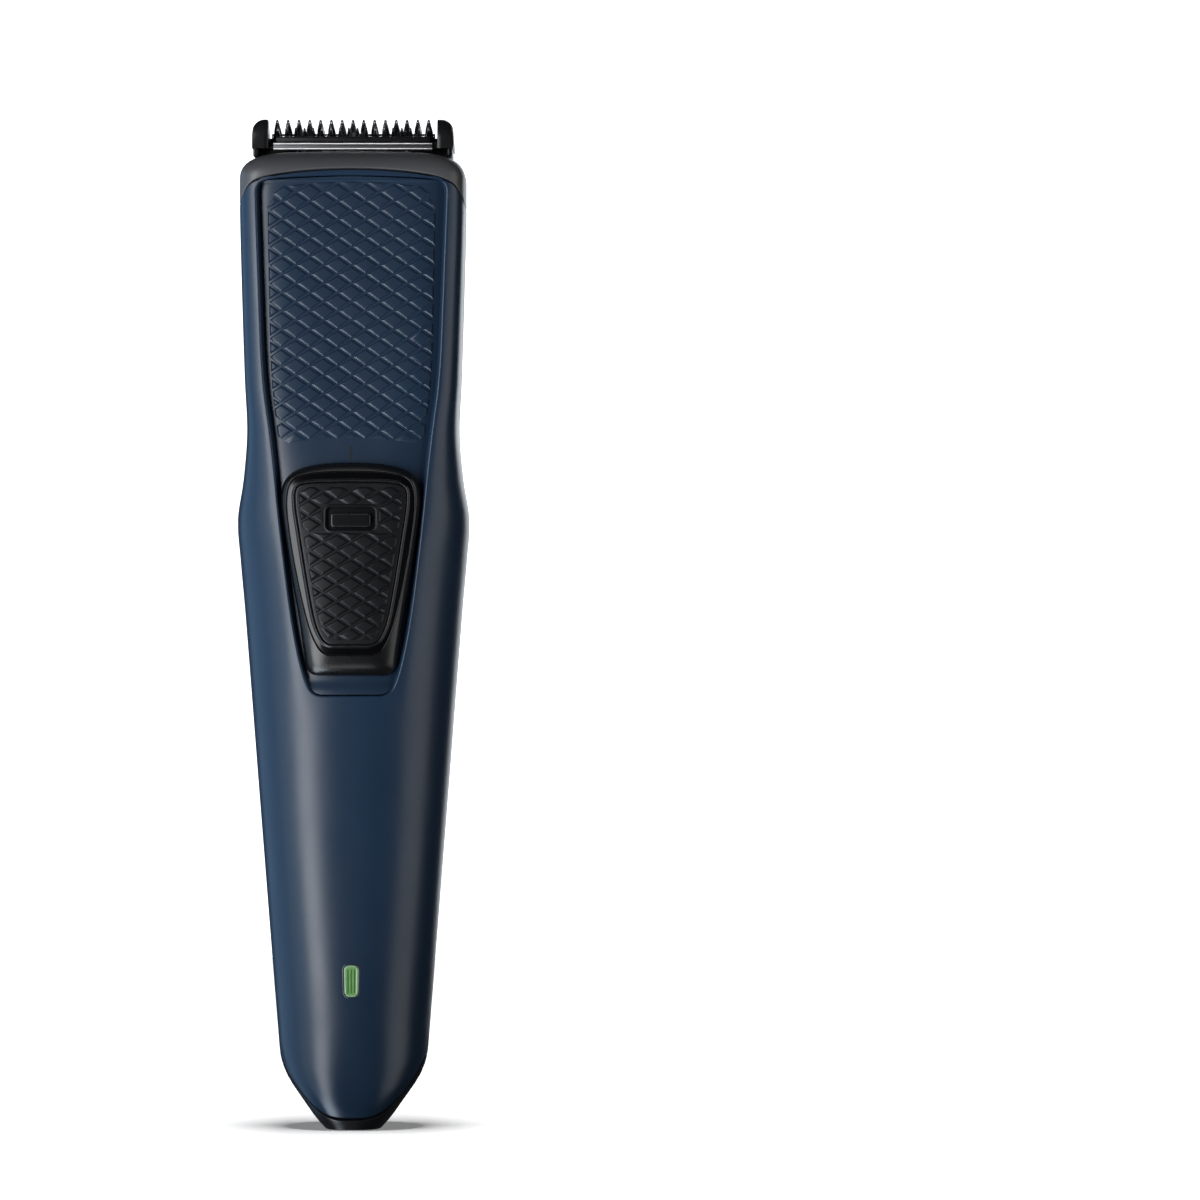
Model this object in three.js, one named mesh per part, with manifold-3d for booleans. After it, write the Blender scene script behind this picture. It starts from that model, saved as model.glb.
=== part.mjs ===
// Cordless beard trimmer: a two-shell body with a neck collar, a thumb switch, a rechargeable cell,
// a small motor whose eccentric drives a bridge from side to side, and a hinged head with a guard blade
// and a moving cutter. Millimetres. +X is the user's right, -Y the front with the switch, +Z up.
// The origin is the middle of the base.
import * as THREE from "three";
import { mergeVertices } from "three/addons/utils/BufferGeometryUtils.js";
import Module from "manifold-3d";

const wasm = await Module();
wasm.setup();

// ---------------------------------------------------------------- driving dimensions

const GAP = 0.3; // clearance between pieces that meet
const WALL = 1.8; // wall of the shells and the collar
const FLOOR_Z = 2.2; // inside of the base
const TOP_Z = 154.9; // crown of the collar
const SHOULDER_Z = 150.3; // where the collar starts to round over
const DECK_Z = TOP_Z - WALL; // underside of the collar's deck
// Exponent of the body's superellipse section: an oval grip below, a squarer neck above.
const SQUARENESS = [
  [0, 3.2], [4, 3], [8, 2.5], [14, 2.2], [30, 2.3], [45, 2.4], [80, 2.4], [92, 2.7], [101, 3.6], [110, 5.4],
  [118, 7], [144, 8],
];
const FAR = 40; // reaches past the body on any side

// Half-width, front half-depth and rear half-depth of the body against height, as [z, size] knots.
const HALF_WIDTH = [
  [0, 4.5], [1.6, 5.95], [4, 7.7], [8, 10.45], [11, 11.6], [14, 11.95], [50, 14.8], [82, 17.3], [90, 18],
  [96.5, 18.4], [103, 17.4], [110.5, 16.75], [118.7, 17.06], [131, 17.45], [144, 17.8], [SHOULDER_Z, 17.84],
];
const FRONT_DEPTH = [
  [0, 8.6], [2.5, 9.9], [5.4, 10.6], [8, 10.9], [14, 11.2], [50, 12.6], [82, 14], [96.5, 14.3], [110.5, 13.6],
  [131, 13], [SHOULDER_Z, 12],
];
const REAR_DEPTH = [
  [0, 8], [2.5, 9], [5.4, 9.9], [8, 10.5], [14, 11.2], [50, 12.9], [82, 14.7], [96.5, 15], [110.5, 14.6],
  [131, 14.4], [SHOULDER_Z, 13],
];
// Heights at which the body's section is taken.
const LEVELS = [
  0, 1.3, 2.8, 5.4, 8, 11, 14, 32, 50, 66, 82, 88, 92.5, 96.5, 100, 103, 106.5, 110.5, 118.7, 131, 144,
  SHOULDER_Z, 151.9, 153, 153.9, 154.5, 154.8, TOP_Z,
];
const AROUND = 36;

const PART_Y = 2; // plane in which the front and rear shells meet
const SEAM_Z = 146.4; // lower edge of the collar at the sides and the back

const PANEL = { depth: 1.45, back: 2.9, flangeDepth: 2.1, flange: 1.2 };
const SLIDE = { proud: 0.7, depth: 1, pocket: 0.3, padProud: 0.35, padDepth: 0.1, travel: 3 };
const STEM = { halfWidth: 2.2, bottom: 85.5, top: 92.5 };
const NUB = { width: 6.4, height: 2.5, z: 96.2, margin: 0.6 };

const LAMP_WINDOW = { top: 2.3, bottom: 2, height: 5.2, z: 23.4 };
const INLET = { width: 5, length: 7, y: 1, depth: 9 };
const BOARD = { front: -7.6, back: -6.4, halfWidth: 6, bottom: 16, top: 96 };
const CELL = { radius: 5.25, length: 44.5, y: 1, bottom: 17 };
const MOTOR = {
  radius: 10, halfDepth: 7.5, y: 1.5, bottom: 101.8, top: 124, wall: 0.8, shaft: 1, armature: 6.2,
};
const THROW = 0.7; // offset of the eccentric's pin, and the blade's travel each way
const FINGER = { radius: 1.3, y: -2.5, top: 156.1 };
const BRIDGE = { bottom: 133.9, top: 136.4, halfWidth: 10 };
const POST = { inner: 8.2, step: 11, outer: 13.3, front: -1.5, back: 4.5 };

const BLADE_TIP = { y: -4.2, z: 159.6 };
const BLADE_LEAN = THREE.MathUtils.degToRad(50); // of the blades, from upright towards the front
const GUARD = { pitch: 1.717, teeth: 15, thick: 0.6, tooth: 3, length: 6, halfWidth: 13 };
const CUTTER = { pitch: 1.405, teeth: 18, thick: 0.6, tip: -1.1, root: -4, length: 5.4, gap: 0.12 };
const EAR = { inner: 13.4, outer: 15.95 };
const HEAD_BASE = 155.4;
const HINGE = { y: 9.4, z: 155.9, pin: 0.6, barrel: 1.4, halfWidth: 6, lug: 2, lugTop: 1.15 };

// ---------------------------------------------------------------- curves and solids

// A smooth value through [at, value] knots: a cubic with each knot's slope taken from its neighbours.
function through(knots) {
  const slopeAt = (i) => {
    const [a, b] = [knots[Math.max(i - 1, 0)], knots[Math.min(i + 1, knots.length - 1)]];
    return (b[1] - a[1]) / (b[0] - a[0]);
  };
  return (at) => {
    const last = knots.length - 2;
    const found = knots.findIndex(([k]) => k > at) - 1;
    const i = Math.min(Math.max(found < 0 ? (at < knots[0][0] ? 0 : last) : found, 0), last);
    const [[z0, v0], [z1, v1]] = [knots[i], knots[i + 1]];
    const span = z1 - z0;
    const t = THREE.MathUtils.clamp((at - z0) / span, 0, 1);
    const [m0, m1] = [slopeAt(i) * span, slopeAt(i + 1) * span];
    return (
      v0 * (2 * t ** 3 - 3 * t ** 2 + 1) + m0 * (t ** 3 - 2 * t ** 2 + t) + v1 * (3 * t ** 2 - 2 * t ** 3) +
      m1 * (t ** 3 - t ** 2)
    );
  };
}

const halfWidthBelow = through(HALF_WIDTH);
const squarenessAt = through(SQUARENESS);
const frontDepthBelow = through(FRONT_DEPTH);
const rearDepthBelow = through(REAR_DEPTH);

// How much the collar has rounded in above the shoulder, 1 at the shoulder and nearly 0 at the crown.
function shoulder(z) {
  const up = THREE.MathUtils.clamp((z - SHOULDER_Z) / (TOP_Z - SHOULDER_Z), 0, 0.99);
  return (1 - up ** 2.5) ** (1 / 4.5);
}

const frontDepth = (z) => frontDepthBelow(z) * shoulder(z);

// A closed geometry as a manifold solid.
function solid(geometry) {
  const plain = geometry.index ? geometry : geometry.clone();
  plain.deleteAttribute("normal");
  plain.deleteAttribute("uv");
  const merged = mergeVertices(plain, 1e-4);
  return new wasm.Manifold(
    new wasm.Mesh({
      numProp: 3,
      vertProperties: new Float32Array(merged.attributes.position.array),
      triVerts: new Uint32Array(merged.index.array),
    }),
  );
}

function geometryOf(made) {
  const mesh = made.getMesh();
  const geometry = new THREE.BufferGeometry();
  geometry.setAttribute("position", new THREE.BufferAttribute(mesh.vertProperties, 3));
  geometry.setIndex(new THREE.BufferAttribute(mesh.triVerts, 1));
  geometry.computeVertexNormals();
  return geometry;
}

const joined = (first, ...others) => others.reduce((all, one) => all.add(one), first);
const cut = (first, ...others) => others.reduce((left, one) => left.subtract(one), first);

// A circle's coordinate turned into that of a superellipse.
const squared = (share, exponent) =>
  Math.abs(share) < 1e-6 ? 0 : Math.sign(share) * Math.abs(share) ** (2 / exponent);

// The body's outer form moved inwards by `inset`, between two heights.
function form(inset, bottom = 0, top = TOP_Z) {
  const levels = [bottom, ...LEVELS.filter((z) => z > bottom + 0.2 && z < top - 0.05), top];
  const geometry = new THREE.CylinderGeometry(1, 1, 1, AROUND, levels.length - 1);
  const p = geometry.attributes.position;
  for (let i = 0; i < p.count; i++) {
    const z = levels[Math.round((p.getY(i) + 0.5) * (levels.length - 1))];
    const [c, s] = [p.getX(i), -p.getZ(i)];
    const depth = s < 0 ? frontDepthBelow(z) : rearDepthBelow(z);
    const [x, y] = [c, s].map((share) => squared(share, squarenessAt(z)));
    p.setXYZ(i, x * (halfWidthBelow(z) * shoulder(z) - inset), y * (depth * shoulder(z) - inset), z);
  }
  return solid(geometry);
}

const layer = (outer, inner) => cut(form(outer, Math.max(outer, 0)), form(inner, FLOOR_Z, TOP_Z - inner));

// A box between two corners.
function block(x0, x1, y0, y1, z0, z1) {
  const geometry = new THREE.BoxGeometry(x1 - x0, y1 - y0, z1 - z0);
  return solid(geometry.translate((x0 + x1) / 2, (y0 + y1) / 2, (z0 + z1) / 2));
}

// The same box on the left and on the right.
const blocks = (x0, x1, y0, y1, z0, z1) =>
  joined(block(x0, x1, y0, y1, z0, z1), block(-x1, -x0, y0, y1, z0, z1));

// A round bar along Z.
function bar(radius, x, y, z0, z1, sides = 20) {
  const geometry = new THREE.CylinderGeometry(radius, radius, z1 - z0, sides);
  return solid(geometry.rotateX(Math.PI / 2).translate(x, y, (z0 + z1) / 2));
}

// A round bar along X or Y.
function barAcross(radius, x0, x1, y, z, sides = 16) {
  const geometry = new THREE.CylinderGeometry(radius, radius, x1 - x0, sides);
  return solid(geometry.rotateZ(Math.PI / 2).translate((x0 + x1) / 2, y, z));
}

function barForward(radius, x, z, y0, y1, sides = 16) {
  const geometry = new THREE.CylinderGeometry(radius, radius, y1 - y0, sides);
  return solid(geometry.translate(x, (y0 + y1) / 2, z));
}

const shapeOf = (points) => new THREE.Shape(points.map(([a, b]) => new THREE.Vector2(a, b)));

// A front-view outline of [x, z] points, given thickness along Y.
function prism(points, y0 = -FAR, y1 = 0) {
  const geometry = new THREE.ExtrudeGeometry(shapeOf(points), { depth: y1 - y0, bevelEnabled: false });
  return solid(geometry.rotateX(Math.PI / 2).translate(0, y1, 0));
}

// A side-view outline of [y, z] points, given thickness along X.
function slab(points, x0, x1) {
  const geometry = new THREE.ExtrudeGeometry(shapeOf(points), { depth: x1 - x0, bevelEnabled: false });
  const turn = new THREE.Matrix4().makeBasis(
    new THREE.Vector3(0, 1, 0), new THREE.Vector3(0, 0, 1), new THREE.Vector3(1, 0, 0),
  );
  return solid(geometry.applyMatrix4(turn).translate(x0, 0, 0));
}

const slabs = (points, x0, x1) => joined(slab(points, x0, x1), slab(points, -x1, -x0));

// A closed outline from its right half, which runs from the bottom middle to the top middle.
const mirrored = (half) => [...half, ...half.slice(1, -1).reverse().map(([x, z]) => [-x, z])];

const curve = (points, steps) =>
  new THREE.SplineCurve(points.map(([x, z]) => new THREE.Vector2(x, z)))
    .getPoints(steps)
    .map((p) => [p.x, p.y]);

// The outline moved outwards everywhere by `by`.
function grown(points, by) {
  const n = points.length;
  const unit = ([ax, az], [bx, bz]) => {
    const length = Math.hypot(bx - ax, bz - az);
    return [(bz - az) / length, (ax - bx) / length];
  };
  return points.map((here, i) => {
    const [nx, nz] = unit(points[(i + n - 1) % n], here);
    const [mx, mz] = unit(here, points[(i + 1) % n]);
    const reach = by / (1 + nx * mx + nz * mz);
    return [here[0] + (nx + mx) * reach, here[1] + (nz + mz) * reach];
  });
}

const rectangle = (halfWidth, bottom, top) =>
  mirrored([[0, bottom], [halfWidth, bottom], [halfWidth, top], [0, top]]);

// ---------------------------------------------------------------- outlines in the front view

// The recess in the front: wide under the collar, drawn in at the neck, narrow below the switch.
const recessOutline = mirrored([
  [0, 68.9], ...curve([[5.4, 68.9], [6.8, 69.6], [7.4, 71.4], [8.1, 75], [9.5, 83.8], [10.9, 94.6]], 9),
  ...curve([[12.3, 108.4], [13.9, 118.7], [14.4, 132], [14.9, 145.5]], 6),
  ...curve([[14.6, 148.2], [12.9, 149.8], [10.8, 150.2]], 3), [0, 150.8],
]);

const slideOutline = mirrored([
  [0, 71.9], ...curve([[5, 71.9], [6.4, 72.7], [7.4, 74.8], [9.1, 83.8], [10.5, 94.6], [11.2, 101.5]], 8),
  ...curve([[11.1, 103.4], [9.9, 104.7], [8, 105.1]], 3), [0, 105.5],
]);

const padOutline = mirrored([
  [0, 76.7], ...curve([[4.2, 76.7], [5.1, 77.3], [5.6, 78.8], [6.9, 88], [8.1, 97], [8.5, 100.4]], 6),
  ...curve([[8.2, 101.6], [7.2, 102.1], [6, 102.3]], 3), [0, 102.5],
]);

// Lower edge of the navy shell, from the middle of the base round to the side.
const LOWER_EDGE = [[0, 1.8], [2.6, 1.95], [4.8, 2.8], [7.5, 5.2], [10.3, 8.9], [11.9, 12.4], [FAR, 20]];
// Lower edge of the collar in the front, from the middle to the side.
const COLLAR_EDGE = [
  [0, 152], [7, 151.7], [12.9, 150.9], [16, 149.8], [16.8, 148.5], [17.5, 147.4], [FAR, SEAM_Z],
];

const lowered = (points, by) => points.map(([x, z]) => [x, z - by]);
const navyOutline = mirrored([...LOWER_EDGE, [FAR, TOP_Z + 1], [0, TOP_Z + 1]]);
const collarOutline = (drop) => mirrored([...lowered(COLLAR_EDGE, drop), [FAR, 2 * TOP_Z], [0, 2 * TOP_Z]]);

function collarRegion(drop) {
  const behind = block(-FAR, FAR, -0.01, FAR, SEAM_Z - drop, 2 * TOP_Z);
  return prism(collarOutline(drop), -FAR, 0).add(behind);
}

// ---------------------------------------------------------------- body

const lampOutline = (margin) => {
  const [top, bottom] = [LAMP_WINDOW.top / 2 + margin, LAMP_WINDOW.bottom / 2 + margin];
  const half = LAMP_WINDOW.height / 2 + margin;
  const [low, high, round] = [LAMP_WINDOW.z - half, LAMP_WINDOW.z + half, 0.5];
  return mirrored([
    [0, low], [bottom - round, low], [bottom, low + round],
    [top, high - round], [top - round, high], [0, high],
  ]);
};

const CHASSIS_SCREW_Z = 66;

function frontShell() {
  const half = layer(0, WALL).intersect(prism(navyOutline, -FAR, PART_Y - GAP / 2));
  const boss = barForward(1.4, 0, CHASSIS_SCREW_Z, -frontDepth(CHASSIS_SCREW_Z) + 1, BOARD.front - GAP);
  const screwHole = barForward(0.6, 0, CHASSIS_SCREW_Z, -frontDepth(CHASSIS_SCREW_Z) + 2, BOARD.front);
  const floor = block(-FAR, FAR, -6.6, FAR, 0, FLOOR_Z + 0.3);
  return cut(
    half.add(boss), screwHole, prism(recessOutline), prism(lampOutline(GAP)), collarRegion(GAP), floor,
  );
}

function rearShell() {
  const navy = prism(grown(navyOutline, GAP), -FAR, PART_Y + GAP / 2);
  const { width, length, y } = INLET;
  const inlet = block(-width / 2 - GAP, width / 2 + GAP, y - length / 2 - GAP, y + length / 2 + GAP, -1, 4);
  return cut(layer(0, WALL), navy, collarRegion(GAP), inlet);
}

function neckCollar() {
  const ring = layer(0, WALL).intersect(collarRegion(0));
  const { y, z, barrel, halfWidth, lug, lugTop, pin } = HINGE;
  const outline = [
    [y - 1.1, DECK_Z + 0.4], [y + 0.2, DECK_Z + 0.4], [y + barrel, z - 0.7], [y + barrel, z + 0.6],
    [y + 0.6, z + lugTop], [y - 0.5, z + lugTop], [y - 1.1, z + 0.4],
  ];
  const lugs = slabs(outline, halfWidth + GAP, halfWidth + GAP + lug);
  const fingerOpening = bar(4, 0, FINGER.y, DECK_Z - 1, TOP_Z + 1, 24);
  return cut(ring.add(lugs), fingerOpening, barAcross(pin + 0.09, -12, 12, y, z));
}

function frontPanel() {
  const face = layer(PANEL.depth, PANEL.back).intersect(prism(grown(recessOutline, -GAP), -FAR, -2));
  const flangeOutline = grown(recessOutline, PANEL.flange);
  const flange = layer(PANEL.flangeDepth, PANEL.back).intersect(prism(flangeOutline, -FAR, -2));
  const slot = rectangle(STEM.halfWidth + 0.4, STEM.bottom - 0.6, STEM.top + SLIDE.travel + 0.6);
  return face.add(flange).subtract(prism(slot));
}

const lampLens = () => {
  const face = frontDepth(LAMP_WINDOW.z);
  return prism(lampOutline(0), -face + 0.1, BOARD.front - 1.3);
};

// ---------------------------------------------------------------- switch

const nubOutline = (margin) =>
  rectangle(NUB.width / 2 + margin, NUB.z - NUB.height / 2 - margin, NUB.z + NUB.height / 2 + margin);

function switchSlide() {
  const plate = cut(form(-SLIDE.proud), form(SLIDE.depth, FLOOR_Z, TOP_Z - 1)).intersect(prism(slideOutline));
  const pocket = prism(grown(padOutline, GAP)).subtract(form(SLIDE.pocket, 1, TOP_Z - 1));
  const nub = form(-SLIDE.proud).intersect(prism(nubOutline(0), -FAR, -13));
  const stem = block(-STEM.halfWidth, STEM.halfWidth, -13.5, -9.9, STEM.bottom, STEM.top);
  return joined(plate.subtract(pocket), nub, stem);
}

function switchPad() {
  const sheet = cut(form(-SLIDE.padProud), form(SLIDE.padDepth, FLOOR_Z, TOP_Z - 1));
  return sheet.intersect(prism(padOutline)).subtract(prism(nubOutline(NUB.margin)));
}

const CARRIAGE = { front: -10.5, back: -9.3, halfWidth: 5.5, bottom: 83, top: 95 };

function switchCarriage() {
  const { front, back, halfWidth, bottom, top } = CARRIAGE;
  const hole = block(-STEM.halfWidth - 0.15, STEM.halfWidth + 0.15, front - 1, back + 1, STEM.bottom - 0.15,
    STEM.top + 0.15);
  const peg = block(-4.6, -3.4, back - 0.1, back + 0.7, 88, 90);
  return block(-halfWidth, halfWidth, front, back, bottom, top).subtract(hole).add(peg);
}

function contactSwitch() {
  const body = block(-5.4, 5.4, CARRIAGE.back + GAP, BOARD.front - 0.2, 86, 94.5);
  return body.subtract(block(-5, -3, CARRIAGE.back, CARRIAGE.back + 1.1, 87.4, 93.6));
}

// ---------------------------------------------------------------- power

function chargingSocket() {
  const { width, length, y, depth } = INLET;
  const around = (wall, z0, z1) =>
    block(-width / 2 - wall, width / 2 + wall, y - length / 2 - wall, y + length / 2 + wall, z0, z1);
  const shell = around(1.3, 4, FLOOR_Z + depth + 1.5).add(around(0.7, FLOOR_Z + GAP, 5));
  const mouth = around(0, 0, FLOOR_Z + depth);
  const pinHoles = [-1.8, 1.8].map((at) => bar(0.7, 0, y + at, FLOOR_Z, FLOOR_Z + depth + 3, 12));
  return cut(shell, mouth, ...pinHoles);
}

const socketPin = (side) => bar(0.6, 0, INLET.y + 1.8 * side, FLOOR_Z + 4.6, FLOOR_Z + INLET.depth + 1.7, 12);

function batteryCell() {
  const { radius, length, y, bottom } = CELL;
  const button = bar(1.9, 0, y, bottom + 1, bottom + length, 16);
  return bar(radius, 0, y, bottom, bottom + length - 1, 28).add(button);
}

const batteryTab = (z) => {
  const leg = block(-2, 2, -4.3, -3.9, z, z + 0.4);
  return block(-3, 3, -3.9, 4.6, z, z + 0.4).add(leg);
};

function circuitBoard() {
  const { front, back, halfWidth, bottom, top } = BOARD;
  const plate = block(-halfWidth, halfWidth, front, back, bottom, top);
  return plate.subtract(barForward(1.1, 0, CHASSIS_SCREW_Z, front - 1, back + 1));
}

const chargeLamp = () => block(-0.8, 0.8, BOARD.front - 1, BOARD.front - 0.1, 22.6, 24.2);

// ---------------------------------------------------------------- chassis and motor

const FLOOR_PLATE = { front: -5.9, back: -4.7, halfWidth: 6.5 };
const CRADLE = {
  front: -7.4, corner: -5.8, back: 9, middle: 9, inner: 10.4, outer: 11.9,
  bottom: 96.3, deck: 125.9, top: 127.4,
};
const MOTOR_SCREW_X = 6.5;

// Two screw holes, one on either side of the motor's axis.
const screwHoles = (x, z0, z1) => [-1, 1].map((side) => bar(0.85, side * x, MOTOR.y, z0, z1, 12));

function chassis() {
  const { front, back, halfWidth } = FLOOR_PLATE;
  const endWalls = [14.4, 62.6].map((z) => block(-halfWidth, halfWidth, front, 6.3, z, z + 1.5));
  const plate = joined(block(-halfWidth, halfWidth, front, back, 14.4, 97.5), ...endWalls);
  const cradle = joined(
    block(-CRADLE.middle, CRADLE.middle, CRADLE.front, CRADLE.front + 1, CRADLE.bottom, CRADLE.top),
    block(-CRADLE.middle, CRADLE.middle, CRADLE.front, 0, CRADLE.deck, CRADLE.top),
    blocks(CRADLE.inner, CRADLE.outer, CRADLE.corner, 7, 100, CRADLE.top),
    block(-CRADLE.outer, CRADLE.outer, CRADLE.corner, CRADLE.back, CRADLE.deck, CRADLE.top),
    block(-halfWidth, halfWidth, CRADLE.front, back, CRADLE.bottom, 97.5),
  );
  const posts = joined(
    blocks(POST.inner, POST.outer, POST.front, POST.back, CRADLE.deck, BRIDGE.bottom - GAP),
    blocks(POST.step, POST.outer, POST.front, POST.back, CRADLE.deck, BRIDGE.top + GAP),
  );
  return cut(
    joined(plate, cradle, posts),
    barForward(1.1, 0, CHASSIS_SCREW_Z, front - 1, back + 1),
    bar(2.6, 0, MOTOR.y, CRADLE.deck - 1, CRADLE.top + 1),
    ...screwHoles(MOTOR_SCREW_X, CRADLE.deck - 1, CRADLE.top + 1),
    ...screwHoles(RETAINER_SCREW_X, BRIDGE.bottom - 2, BRIDGE.top + 1),
  );
}

// A flat-sided round bar, the motor's section.
const motorBar = (inset, z0, z1) => {
  const round = bar(MOTOR.radius - inset, 0, MOTOR.y, z0, z1, 32);
  const half = MOTOR.halfDepth - inset;
  return round.intersect(block(-FAR, FAR, MOTOR.y - half, MOTOR.y + half, z0 - 1, z1 + 1));
};

const shaftBore = () => bar(MOTOR.shaft + 0.09, 0, MOTOR.y, 90, 140, 24);

function motorCan() {
  const boss = bar(2.2, 0, MOTOR.y, MOTOR.top - 0.5, MOTOR.top + 1.4);
  const can = motorBar(0, MOTOR.bottom, MOTOR.top).subtract(
    motorBar(MOTOR.wall, MOTOR.bottom - 1, MOTOR.top - MOTOR.wall),
  );
  return cut(can.add(boss), shaftBore(), ...screwHoles(MOTOR_SCREW_X, MOTOR.top - 2, MOTOR.top + 1));
}

function motorEndCap() {
  const cap = motorBar(0.2, 98.6, MOTOR.bottom - GAP).add(bar(2.4, 0, MOTOR.y, 97.8, 99));
  return cap.subtract(shaftBore());
}

function magnet(side) {
  const arc = bar(8.9, 0, MOTOR.y, 105, 117, 32).subtract(bar(6.7, 0, MOTOR.y, 104, 118, 32));
  const [near, far] = side < 0 ? [-FAR, -3] : [3, FAR];
  return arc.intersect(block(near, far, MOTOR.y - 5.6, MOTOR.y + 5.6, 104, 118));
}

function armature() {
  const core = bar(MOTOR.armature, 0, MOTOR.y, 105.5, 116.5, 24);
  const slots = [0, 1, 2].map((i) => {
    const angle = (i / 3) * 2 * Math.PI + Math.PI / 6;
    return bar(1.1, 5.6 * Math.cos(angle), MOTOR.y + 5.6 * Math.sin(angle), 104, 118, 12);
  });
  return cut(core.add(bar(2.4, 0, MOTOR.y, 102.4, 106)), shaftBore(), ...slots);
}

const motorShaft = () => bar(MOTOR.shaft, 0, MOTOR.y, 98, 131.4, 24);

const motorScrew = (side) => {
  const at = side * MOTOR_SCREW_X;
  const head = bar(1.4, at, MOTOR.y, CRADLE.top + 0.05, CRADLE.top + 0.95, 14);
  return head.add(bar(0.7, at, MOTOR.y, MOTOR.top - 1.6, CRADLE.top + 0.5, 12));
};

const chassisScrew = () => {
  const head = barForward(1.6, 0, CHASSIS_SCREW_Z, FLOOR_PLATE.back + 0.05, FLOOR_PLATE.back + 1.2);
  return head.add(barForward(0.5, 0, CHASSIS_SCREW_Z, -11, FLOOR_PLATE.back + 0.5));
};

// ---------------------------------------------------------------- drive

function eccentric() {
  const hub = bar(3.4, 0, MOTOR.y, 128.8, 132.6, 24);
  const bore = bar(MOTOR.shaft + 0.09, 0, MOTOR.y, 128, 131.6, 24);
  return hub.subtract(bore).add(bar(1.2, THROW, MOTOR.y, 132, BRIDGE.top - 0.2, 18));
}

function driveBridge() {
  const plate = block(-BRIDGE.halfWidth, BRIDGE.halfWidth, -4.6, 4.6, BRIDGE.bottom, BRIDGE.top);
  const reach = 1.2 + 2 * THROW + 0.2;
  const slot = block(-reach, reach, MOTOR.y - 2.2, MOTOR.y + 2.2, BRIDGE.bottom - 1, BRIDGE.top + 1);
  return plate.subtract(slot).add(bar(FINGER.radius, 0, FINGER.y, BRIDGE.top - 0.5, FINGER.top, 18));
}

const RETAINER_SCREW_X = 12.2;
const RETAINER = { bottom: BRIDGE.top + 2 * GAP, thick: 1.2 };

function bridgeRetainer() {
  const { bottom, thick } = RETAINER;
  const plate = block(-POST.outer, POST.outer, -4.8, 5, bottom, bottom + thick);
  const window = block(-3, 3, FINGER.y - 2, FINGER.y + 2, bottom - 1, bottom + thick + 1);
  return cut(plate, window, ...screwHoles(RETAINER_SCREW_X, bottom - 1, bottom + 3));
}

const retainerScrew = (side) => {
  const at = side * RETAINER_SCREW_X;
  const seat = RETAINER.bottom + RETAINER.thick;
  return bar(1.3, at, MOTOR.y, seat + 0.05, seat + 0.85, 14).add(bar(0.7, at, MOTOR.y, 133, seat + 0.4, 12));
};

function driveSeal() {
  const profile = [
    [2.3, DECK_Z - 1.1], [5, DECK_Z - 1.1], [5, DECK_Z - GAP], [3.7, DECK_Z - GAP], [3.7, TOP_Z - 0.1],
    [2.3, TOP_Z - 0.1], [2.3, DECK_Z - 1.1],
  ];
  const ring = new THREE.LatheGeometry(profile.map(([r, z]) => new THREE.Vector2(r, z)), 24);
  return solid(ring.rotateX(Math.PI / 2).translate(0, FINGER.y, 0));
}

// ---------------------------------------------------------------- head

// The blades are drawn flat, tips at y = 0 pointing to +y, the guard below z = 0 and the cutter above it.
// The group that holds them leans them forward.
const bladeFrame = new THREE.Matrix4()
  .makeRotationX(Math.PI / 2 + BLADE_LEAN)
  .setPosition(0, BLADE_TIP.y, BLADE_TIP.z);

const flat = (points, z0, z1) => {
  const plate = new THREE.ExtrudeGeometry(shapeOf(points), { depth: z1 - z0, bevelEnabled: false });
  return solid(plate.translate(0, 0, z0));
};

// One pointed tooth with a blunt tip.
const tooth = (x, tip, root, rootHalf, tipHalf) => [
  [x - rootHalf, root], [x + rootHalf, root], [x + rootHalf * 0.8, (root + tip) / 2], [x + tipHalf, tip],
  [x - tipHalf, tip], [x - rootHalf * 0.8, (root + tip) / 2],
];

const acrossTeeth = (count, pitch) => Array.from({ length: count }, (_, i) => (i - (count - 1) / 2) * pitch);
const GUARD_SCREW = { x: 11.6, y: -4.95 };

function guardBlade() {
  const { halfWidth, tooth: length, thick } = GUARD;
  const foot = -GUARD.length;
  const outline = [[-halfWidth, foot], [halfWidth, foot], [halfWidth, -length], [-halfWidth, -length]];
  const land = flat(outline, -thick, 0);
  const teeth = acrossTeeth(GUARD.teeth, GUARD.pitch).map((x) =>
    flat(tooth(x, 0, -length - 0.2, 0.56, 0.2), -thick, 0),
  );
  const holes = [-1, 1].map((side) => bar(0.7, side * GUARD_SCREW.x, GUARD_SCREW.y, -2, 2, 12));
  return cut(joined(land, ...teeth), ...holes);
}

function cutterBlade() {
  const { tip, root, thick, gap } = CUTTER;
  const [wide, narrow] = [12.4, 9.4];
  const outline = [
    [-narrow, -CUTTER.length], [narrow, -CUTTER.length], [narrow, root - 0.3], [wide, root - 0.3],
    [wide, root], [-wide, root], [-wide, root - 0.3], [-narrow, root - 0.3],
  ];
  const land = flat(outline, gap, gap + thick);
  const teeth = acrossTeeth(CUTTER.teeth, CUTTER.pitch).map((x) =>
    flat(tooth(x, tip, root - 0.2, 0.46, 0.16), gap, gap + thick),
  );
  return joined(land, ...teeth);
}

const guardScrew = (side) => {
  const [x, y] = [side * GUARD_SCREW.x, GUARD_SCREW.y];
  const head = bar(1.05, x, y, -GUARD.thick - 0.5, -GUARD.thick - 0.05, 16);
  return head.add(bar(0.5, x, y, -GUARD.thick - 0.2, 1.2, 12));
};

// Underside of the guard, as height against y.
const guardPlane = (y) => BLADE_TIP.z - (y - BLADE_TIP.y) / Math.tan(BLADE_LEAN);

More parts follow.
